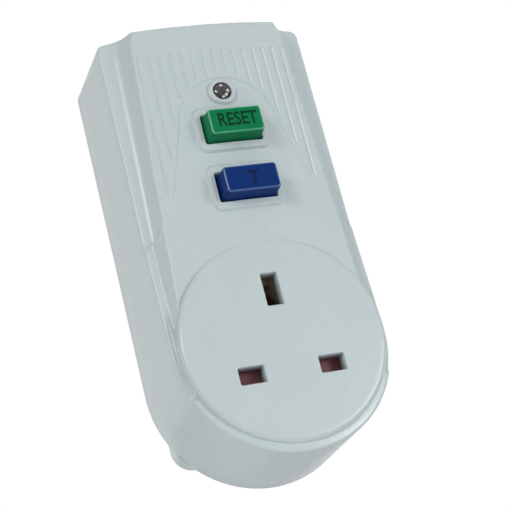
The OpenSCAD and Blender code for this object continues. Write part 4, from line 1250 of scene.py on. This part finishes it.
@dataclass
class RearCover:
    """Plate set into the back rim, with the raised plug pad, board posts and screw wells."""

    half_w: float = 28.0
    top_y: float = 99.2
    lip: float = 0.25
    pad_size: Pair = (51.0, 49.7)
    pad_y: float = 11.95
    pad_r: float = 6.0
    edge: float = 0.5
    pad_step: float = 0.12
    pole_hole: Pair = (6.65, 4.27)
    earth_hole: Pair = (4.27, 8.25)
    hole_corner: float = 0.2
    well: tuple[Pair, ...] = ((3.0, RIM_D), (2.85, RIM_D + 0.15), (2.85, SCREW_SEAT_D), (1.55, SCREW_SEAT_D),
                              (1.55, PLATE_D))
    post: tuple[Pair, ...] = ((2.0, PLATE_D - 0.2), (2.0, 7.75), (1.85, 7.9))
    posts: tuple[Pair, ...] = ((-16.84, 42.0), (16.84, 42.0), (-16.84, 93.84), (16.84, 93.84))

    def _plate(self, inset: float) -> Array:
        """Outline of the plate, drawn in by inset."""
        half = self.half_w - inset
        turn = np.radians(np.linspace(180, 360, 120))
        end = np.column_stack([half * np.cos(turn), END_Y + half * np.sin(turn)])
        return np.concatenate([end, arcade(half, np.linspace(END_Y, self.top_y - inset, 60)[1:], 40)])

    def _pad(self, inset: float) -> Array:
        """Outline of the plug pad, drawn in by inset."""
        return rect_ring((0, self.pad_y), (self.pad_size[0] - 2 * inset, self.pad_size[1] - 2 * inset),
                         self.pad_r - inset, (30, 30), 13)

    def _pin_walls(self, shell: Shell, low: float, high: float) -> tuple[list[Array], list[Array]]:
        """Adds the walls of the three pin holes and returns their lower and their upper loops."""
        holes = (((-POLE_X, 0), self.pole_hole, (8, 5)), ((POLE_X, 0), self.pole_hole, (8, 5)),
                 ((0, EARTH_Y), self.earth_hole, (5, 10)))
        rings = [rect_ring(centre, size, self.hole_corner, counts) for centre, size, counts in holes]
        ends = [shell.stack([(ring, low), (ring, high)]) for ring in rings]
        return [first for first, _ in ends], [last for _, last in ends]

    def build(self, kit: ShaderKit) -> None:
        """Builds, dresses and ties the rear cover."""
        shell = Shell()
        back, front = shell.stack([(self._plate(self.lip), RIM_D), (self._plate(0), RIM_D + self.lip),
                                   (self._plate(0), PLATE_D)])
        wells = [shell.stack((circle_ring(spot, r, 40), d) for r, d in self.well) for spot in SCREW_SPOTS]
        low, high = self._pin_walls(shell, RIM_D, PLATE_D)
        shell.lid([back, *(rim for rim, _ in wells), *low])
        shell.lid([front, *(seat for _, seat in wells), *high])
        rows = [(self._pad(self.edge * (1 - math.cos(a)) + self.pad_step), self.edge * (1 - math.sin(a)))
                for a in np.radians([90, 65, 45, 25, 0])]
        face, foot = shell.stack([*rows, (self._pad(0), RIM_D - 0.2), (self._pad(0.15), RIM_D)])
        low, high = self._pin_walls(shell, 0.0, RIM_D)
        shell.lid([face, *low])
        shell.lid([foot, *high])
        for spot in self.posts:
            shell.plug((circle_ring(spot, r, 32), d) for r, d in self.post)
        piece = shell.piece("rear_moulding", 35)
        dressed(piece.data, kit, Palette.housing)
        finished(piece, Body.HOUSING, Slot.HOUSING, "rear_cover")


@dataclass
class SoftenedPiece:
    """CAD solid whose sharp edges are broken, as moulding and tumbling leave them."""

    node: str
    body: Body
    slot: Slot
    finish: Finish
    width: float
    flat_below: float = math.radians(1)
    sharp_above: float = math.radians(30)

    def _soften(self, work: bmesh.types.BMesh) -> None:
        """Joins the flat faces and breaks the sharp edges."""
        bmesh.ops.remove_doubles(work, verts=work.verts, dist=1e-6)
        bmesh.ops.dissolve_limit(work, angle_limit=self.flat_below, verts=work.verts, edges=work.edges)
        sharp = [edge for edge in work.edges
                 if len(edge.link_faces) == 2 and edge.calc_face_angle(0.0) > self.sharp_above]
        bmesh.ops.bevel(work, geom=sharp, offset=self.width * MM, segments=2, profile=0.5, affect="EDGES",
                        clamp_overlap=True)
        bmesh.ops.triangulate(work, faces=[face for face in work.faces if len(face.verts) > 4])

    def build(self, kit: ShaderKit) -> None:
        """Builds, dresses and ties the softened copy."""
        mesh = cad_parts[self.node].data.copy()
        mesh.name = self.node + "_soft"
        rework(mesh, self._soften)
        smooth(mesh, 40)
        dressed(mesh, kit, self.finish)
        finished(linked(self.node + "_soft", mesh), self.body, self.slot, self.node)


class NodeTreeMaker:
    """Starts a Geometry Nodes tree with named inputs and turns its result into a plain mesh."""

    kinds = {"Place": "Vector", "Tilt": "Rotation", "Material": "Material"}

    def __init__(self, name: str, *labels: str) -> None:
        """Makes the tree.

        Args:
            name: The tree's name.
            labels: Its inputs besides the geometry and the material, which are numbers unless `kinds` says otherwise.
        """
        self.tree = bpy.data.node_groups.new(name, "GeometryNodeTree")
        self.tree.interface.new_socket("Geometry", in_out="INPUT", socket_type="NodeSocketGeometry")
        self.keys: dict[str, str] = {}
        for label in (*labels, "Material"):
            kind = "NodeSocket" + self.kinds.get(label, "Float")
            self.keys[label] = self.tree.interface.new_socket(label, in_out="INPUT", socket_type=kind).identifier
        self.tree.interface.new_socket("Geometry", in_out="OUTPUT", socket_type="NodeSocketGeometry")
        self.graph = Graph(self.tree)
        self.given = self.graph.add("NodeGroupInput").outputs

    def helix(self, steps: int, sides: int, turns: object, radius: object, height: object,
              wire_r: object) -> Socket:
        """Winds a wire on a helix.

        Args:
            steps: Points on each turn.
            sides: Sides of the wire.
            turns: Number of turns.
            radius: Radius of the helix.
            height: Its height.
            wire_r: Radius of the wire.

        Returns:
            The wire's mesh.
        """
        curve = self.graph.add("GeometryNodeCurveSpiral", {
            "Resolution": steps, "Rotations": turns, "Start Radius": radius, "End Radius": radius, "Height": height})
        section = self.graph.add("GeometryNodeCurvePrimitiveCircle", {"Resolution": sides, "Radius": wire_r})
        return self.graph.add("GeometryNodeCurveToMesh", {
            "Curve": curve.outputs["Curve"], "Profile Curve": section.outputs["Curve"],
            "Fill Caps": True}).outputs["Mesh"]

    def close(self, geometry: Socket) -> None:
        """Ends the tree with realised instances and the material."""
        real = self.graph.add("GeometryNodeRealizeInstances", {"Geometry": geometry})
        painted = self.graph.add("GeometryNodeSetMaterial", {"Geometry": real.outputs["Geometry"],
                                                             "Material": self.given["Material"]})
        self.graph.add("NodeGroupOutput", {"Geometry": painted.outputs["Geometry"]})

    def run(self, name: str, points: Array, values: dict[str, object], crease: float) -> bpy.types.Object:
        """Runs the tree on a set of points.

        Args:
            name: The new piece's name.
            points: Points that carry the tree, in the row frame.
            values: A value for each input.
            crease: Angle in degrees above which an edge shades sharp.

        Returns:
            A plain mesh object.
        """
        seed = bpy.data.meshes.new(name + "_seed")
        seed.from_pydata(points.tolist(), [], [])
        carrier = linked(name + "_seed", seed)
        modifier = carrier.modifiers.new("tree", "NODES")
        modifier.node_group = self.tree
        for label, value in values.items():
            modifier[self.keys[label]] = value
        mesh = plain_mesh(carrier)
        mesh.name = name
        rework(mesh)
        smooth(mesh, crease)
        return linked(name, mesh)


@dataclass(frozen=True)
class SpringSize:
    """Size and place of one coil spring."""

    node: str
    radius: float
    length: float
    turns: float
    start: Triple
    upright: bool
    joint: str
    keep: float


class CoilSprings:
    """Springs, each one wire wound on a helix."""

    sizes = (
        SpringSize("reset_spring", 3.4, 4.6, 3, (0, RESET_Y, 25.7), False, "reset_press", 0.457),
        SpringSize("test_spring", 3.4, 4.6, 4, (0, TEST_Y, 25.7), False, "test_press", 0.609),
        SpringSize("shutter_spring", 1.0, 9.44, 5, (0, -13.54, 34.2), True, "shutter_slide", 0.449),
    )
    wire_r = 0.3

    def __init__(self) -> None:
        """Builds the tree that winds a spring."""
        self.maker = NodeTreeMaker("coil_spring", "Coil Radius", "Wire Radius", "Height", "Turns", "Place", "Tilt")
        given = self.maker.given
        wire = self.maker.helix(28, 12, given["Turns"], given["Coil Radius"], given["Height"], given["Wire Radius"])
        moved = self.maker.graph.add("GeometryNodeTransform", {
            "Geometry": wire, "Translation": given["Place"], "Rotation": given["Tilt"]})
        self.maker.close(moved.outputs["Geometry"])

    def build(self, kit: ShaderKit) -> None:
        """Builds, dresses and ties each spring."""
        for size in self.sizes:
            x, y, d = size.start
            place = (x * MM, -d * MM, (y + self.wire_r) * MM) if size.upright else (
                x * MM, -(d + self.wire_r) * MM, y * MM)
            values = {"Coil Radius": size.radius * MM, "Wire Radius": self.wire_r * MM,
                      "Height": (size.length - 2 * self.wire_r) * MM, "Turns": float(size.turns), "Place": place,
                      "Tilt": (0.0 if size.upright else math.pi / 2, 0.0, 0.0),
                      "Material": Palette.wire.material(kit)}
            piece = self.maker.run(size.node + "_wire", np.zeros((1, 3)), values, 60)
            finished(piece, Body.HOUSING, Slot.SPRING, size.node)
            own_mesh(piece)


class CoverScrews:
    """Five cross-recess screws that hold the rear cover."""

    head_r = 2.7
    head_d = 5.2
    shank_r = 1.15
    thread_r = 1.4
    thread_turns = 10.0
    tip_d = 19.0
    recess = 0.7

    def __init__(self) -> None:
        """Builds the tree that makes one screw and sets it on each point."""
        self.maker = NodeTreeMaker("cover_screws", "Head Radius", "Head Height", "Shank Radius", "Thread Radius",
                                   "Length", "Recess")
        graph, given = self.maker.graph, self.maker.given
        radius = given["Shank Radius"]

        def times(name: str, share: float) -> Socket:
            """Returns a share of an input."""
            return graph.maths("MULTIPLY", given[name], share)

        def moved(mesh: Socket, share: float, turn: float = 0.0) -> Socket:
            """Moves a mesh along the screw by a share of the head's height, and turns it."""
            way = graph.add("ShaderNodeCombineXYZ", {"Z": times("Head Height", share)})
            return graph.add("GeometryNodeTransform", {"Geometry": mesh, "Translation": way.outputs["Vector"],
                                                       "Rotation": (0.0, 0.0, turn)}).outputs["Geometry"]

        disc = graph.add("GeometryNodeMeshCylinder", {"Vertices": 40, "Radius": given["Head Radius"],
                                                      "Depth": given["Head Height"]})
        head = graph.add("GeometryNodeMeshBoolean", {"Mesh 1": disc.outputs["Mesh"]}, operation="DIFFERENCE")
        for turn in (0.0, math.pi / 2):
            size = graph.add("ShaderNodeCombineXYZ", {"X": times("Recess", 4.6), "Y": given["Recess"],
                                                      "Z": given["Head Height"]})
            bar = graph.add("GeometryNodeMeshCube", {"Size": size.outputs["Vector"]})
            graph.fill(head, {"Mesh 2": moved(bar.outputs["Mesh"], -0.45, turn)})
        shank = graph.add("GeometryNodeMeshCone", {"Vertices": 20, "Radius Top": times("Shank Radius", 0.7),
                                                   "Radius Bottom": radius, "Depth": given["Length"]})
        ridge = self.maker.helix(16, 4, self.thread_turns, radius, times("Length", 0.86),
                                 graph.maths("SUBTRACT", given["Thread Radius"], radius))
        joined = graph.add("GeometryNodeJoinGeometry")
        for socket in (head.outputs["Mesh"], moved(shank.outputs["Mesh"], 0.5), moved(ridge, 1.1)):
            graph.fill(joined, {"Geometry": socket})
        screws = graph.add("GeometryNodeInstanceOnPoints", {
            "Points": given["Geometry"], "Instance": joined.outputs["Geometry"], "Rotation": (math.pi / 2, 0.0, 0.0)})
        self.maker.close(screws.outputs["Instances"])

    def build(self, kit: ShaderKit) -> None:
        """Builds, dresses and ties the screws."""
        middle = (self.head_d + SCREW_SEAT_D) / 2
        points = placed(np.array([(x, y, middle) for x, y in SCREW_SPOTS]))
        values = {"Head Radius": self.head_r * MM, "Head Height": (SCREW_SEAT_D - self.head_d) * MM,
                  "Shank Radius": self.shank_r * MM, "Thread Radius": self.thread_r * MM,
                  "Length": (self.tip_d - SCREW_SEAT_D) * MM, "Recess": self.recess * MM,
                  "Material": Palette.zinc.material(kit)}
        piece = self.maker.run("cover_screw_set", points, values, 35)
        finished(piece, Body.HOUSING, Slot.SCREW, "cover_screws")


class InnerWorks:
    """CAD solids inside the housing, which keep their shape and get their finishes."""

    finishes: dict[str, Finish] = {
        "socket_block": Palette.block, "line_contact": Palette.strip, "neutral_contact": Palette.strip,
        "earth_contact": Palette.strip, "supply_strips": Palette.strip, "circuit_board": Palette.laminate,
        "current_transformer": Palette.resin, "primary_leads": Palette.lead, "coil_frame": Palette.steel,
        "coil_bobbin": Palette.nylon, "coil_winding": Palette.enamel, "trip_plunger": Palette.steel,
        "plunger_spring": Palette.wire, "latch_lever": Palette.steel, "latch_pivot": Palette.steel,
        "mechanism_frame": Palette.nylon, "contact_carriage": Palette.nylon, "moving_contacts": Palette.silver,
        "fixed_contacts": Palette.silver, "test_pads": Palette.strip, "lamp_leads": Palette.wire,
        "control_chip": Palette.package, "smoothing_capacitor": Palette.can_sleeve, "surge_varistor": Palette.dipped,
        "resistors": Palette.lacquer,
    }

    def dress(self, kit: ShaderKit) -> None:
        """Gives each solid its finish."""
        for node, finish in self.finishes.items():
            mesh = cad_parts[node].data
            material = finish.material(kit)
            if mesh.materials:
                for index in range(len(mesh.materials)):
                    mesh.materials[index] = material
            else:
                mesh.materials.append(material)
            log.info("%s: %s", node, finish.name)


@dataclass(frozen=True)
class SoftLight:
    """Large area lamp, aimed at the middle of the housing."""

    name: str
    place: Triple
    size: float
    power: float
    colour: Colour = (1.0, 1.0, 1.0)


@dataclass
class Studio:
    """Camera at the photograph's place, soft light, white surroundings and a pale floor."""

    camera_place: Triple = (-0.139240, -0.393858, -0.100266)
    camera_right: Triple = (0.932143, -0.272151, -0.238838)
    camera_up: Triple = (0.120953, -0.387690, 0.913820)
    camera_back: Triple = (-0.341292, -0.880699, -0.328465)
    lens: float = 107.909
    sensor: float = 36.0
    aim: Triple = (0.0, -0.03, 0.045)
    floor_z: float = -0.125
    floor_half: float = 1.6
    world_level: float = 0.34
    lights: tuple[SoftLight, ...] = (
        SoftLight("key_light", (0.66, -0.96, 0.07), 0.36, 4.0, (0.98, 1.0, 1.02)),
        SoftLight("side_light", (-0.82, -0.80, 0.44), 0.36, 4.3, (1.0, 0.99, 0.96)),
        SoftLight("low_light", (-0.03, -0.03, -0.117), 0.5, 0.19),
        SoftLight("back_light", (0.3, 0.7, 0.9), 0.7, 2.2),
    )

    def build(self) -> None:
        """Builds the studio."""
        scene = bpy.context.scene
        scene.view_settings.view_transform = "Standard"
        self._camera(scene)
        for light in self.lights:
            self._light(light)
        self._world(scene)
        self._floor()

    def _camera(self, scene: bpy.types.Scene) -> None:
        """Sets the camera."""
        data = bpy.data.cameras.new("camera")
        data.lens, data.sensor_width, data.sensor_fit = self.lens, self.sensor, "HORIZONTAL"
        data.clip_start = 0.01
        camera = linked("camera", data)
        axes = Matrix((self.camera_right, self.camera_up, self.camera_back)).transposed().to_4x4()
        camera.matrix_world = Matrix.Translation(self.camera_place) @ axes
        scene.camera = camera

    def _light(self, light: SoftLight) -> None:
        """Hangs one soft light."""
        data = bpy.data.lights.new(light.name, "AREA")
        data.shape, data.size, data.energy, data.color = "DISK", light.size, light.power, light.colour
        lamp = linked(light.name, data)
        lamp.location = light.place
        lamp.visible_camera = False
        lamp.rotation_euler = (Vector(self.aim) - Vector(light.place)).to_track_quat("-Z", "Y").to_euler()

    def _world(self, scene: bpy.types.Scene) -> None:
        """Makes the surroundings: white to the eye and in reflections, softer as light."""
        world = bpy.data.worlds.new("surroundings")
        world.use_nodes = True
        graph = Graph(world.node_tree)
        seen = world.node_tree.nodes["Background"]
        seen.inputs["Color"].default_value = (1.0, 1.0, 1.0, 1.0)
        path = graph.add("ShaderNodeLightPath").outputs
        direct = graph.maths("MAXIMUM", path["Is Camera Ray"], path["Is Transmission Ray"])
        shown = graph.maths("MAXIMUM", direct, path["Is Glossy Ray"])
        graph.fill(seen, {"Strength": graph.ranged(shown, after=(self.world_level, 1.0))})
        scene.world = world

    def _floor(self) -> None:
        """Lays a pale floor well below the housing, clear from underneath."""
        half, z = self.floor_half, self.floor_z
        mesh = bpy.data.meshes.new("floor")
        mesh.from_pydata([(-half, -half, z), (half, -half, z), (half, half, z), (-half, half, z)], [], [(0, 1, 2, 3)])
        material = bpy.data.materials.new("floor_paper")
        material.use_nodes = True
        graph = Graph(material.node_tree)
        surface = material.node_tree.nodes["Principled BSDF"]
        tone = graph.ranged(graph.noise(graph.place(), 400.0, 3.0), after=(0.92, 0.95))
        graph.fill(surface, {"Base Color": tone, "Roughness": 0.9})
        under = graph.maths("MULTIPLY", graph.add("ShaderNodeNewGeometry").outputs["Backfacing"],
                            graph.add("ShaderNodeLightPath").outputs["Is Camera Ray"])
        clear = graph.add("ShaderNodeBsdfTransparent").outputs["BSDF"]
        mixed = graph.add("ShaderNodeMixShader", {0: under, 1: surface.outputs["BSDF"], 2: clear})
        graph.fill(graph.tree.nodes["Material Output"], {"Surface": mixed.outputs["Shader"]})
        mesh.materials.append(material)
        linked("floor", mesh)


def main() -> None:
    """Builds the studio and every piece in order."""
    logging.basicConfig(level=logging.INFO, format="%(message)s")
    kit = ShaderKit()
    Studio().build()
    InnerWorks().dress(kit)
    FrontCover().build(kit)
    RearCover().build(kit)
    PushButton("reset_button", Body.RESET, Slot.RESET, (Palette.reset, Palette.reset_edge_painted_highlight), Palette.reset_ink,
               RESET_Y, stem_d=16.0, mark="RESET", mark_size=(11.1, 4.0), mark_shift=(0.6, 0.3),
               shift=(0.1, 0.0)).build(kit)
    PushButton("test_button", Body.TEST, Slot.TEST, (Palette.test, Palette.test_edge_painted_highlight), Palette.test_ink,
               TEST_Y, stem_d=11.7, mark="T", mark_size=(3.1, 3.9), mark_shift=(0.85, -0.2),
               shift=(0.3, -0.1)).build(kit)
    IndicatorLamp().build(kit)
    for node in ("line_pin", "neutral_pin", "earth_pin"):
        SoftenedPiece(node, Body.HOUSING, Slot.PIN, Palette.pin, 0.2).build(kit)
    SoftenedPiece("pin_sleeves", Body.HOUSING, Slot.SLEEVE, Palette.sleeve, 0.12).build(kit)
    SoftenedPiece("socket_shutter", Body.SHUTTER, Slot.SHUTTER, Palette.shutter, 0.12).build(kit)
    CoilSprings().build(kit)
    CoverScrews().build(kit)


if __name__ == "__main__":
    main()
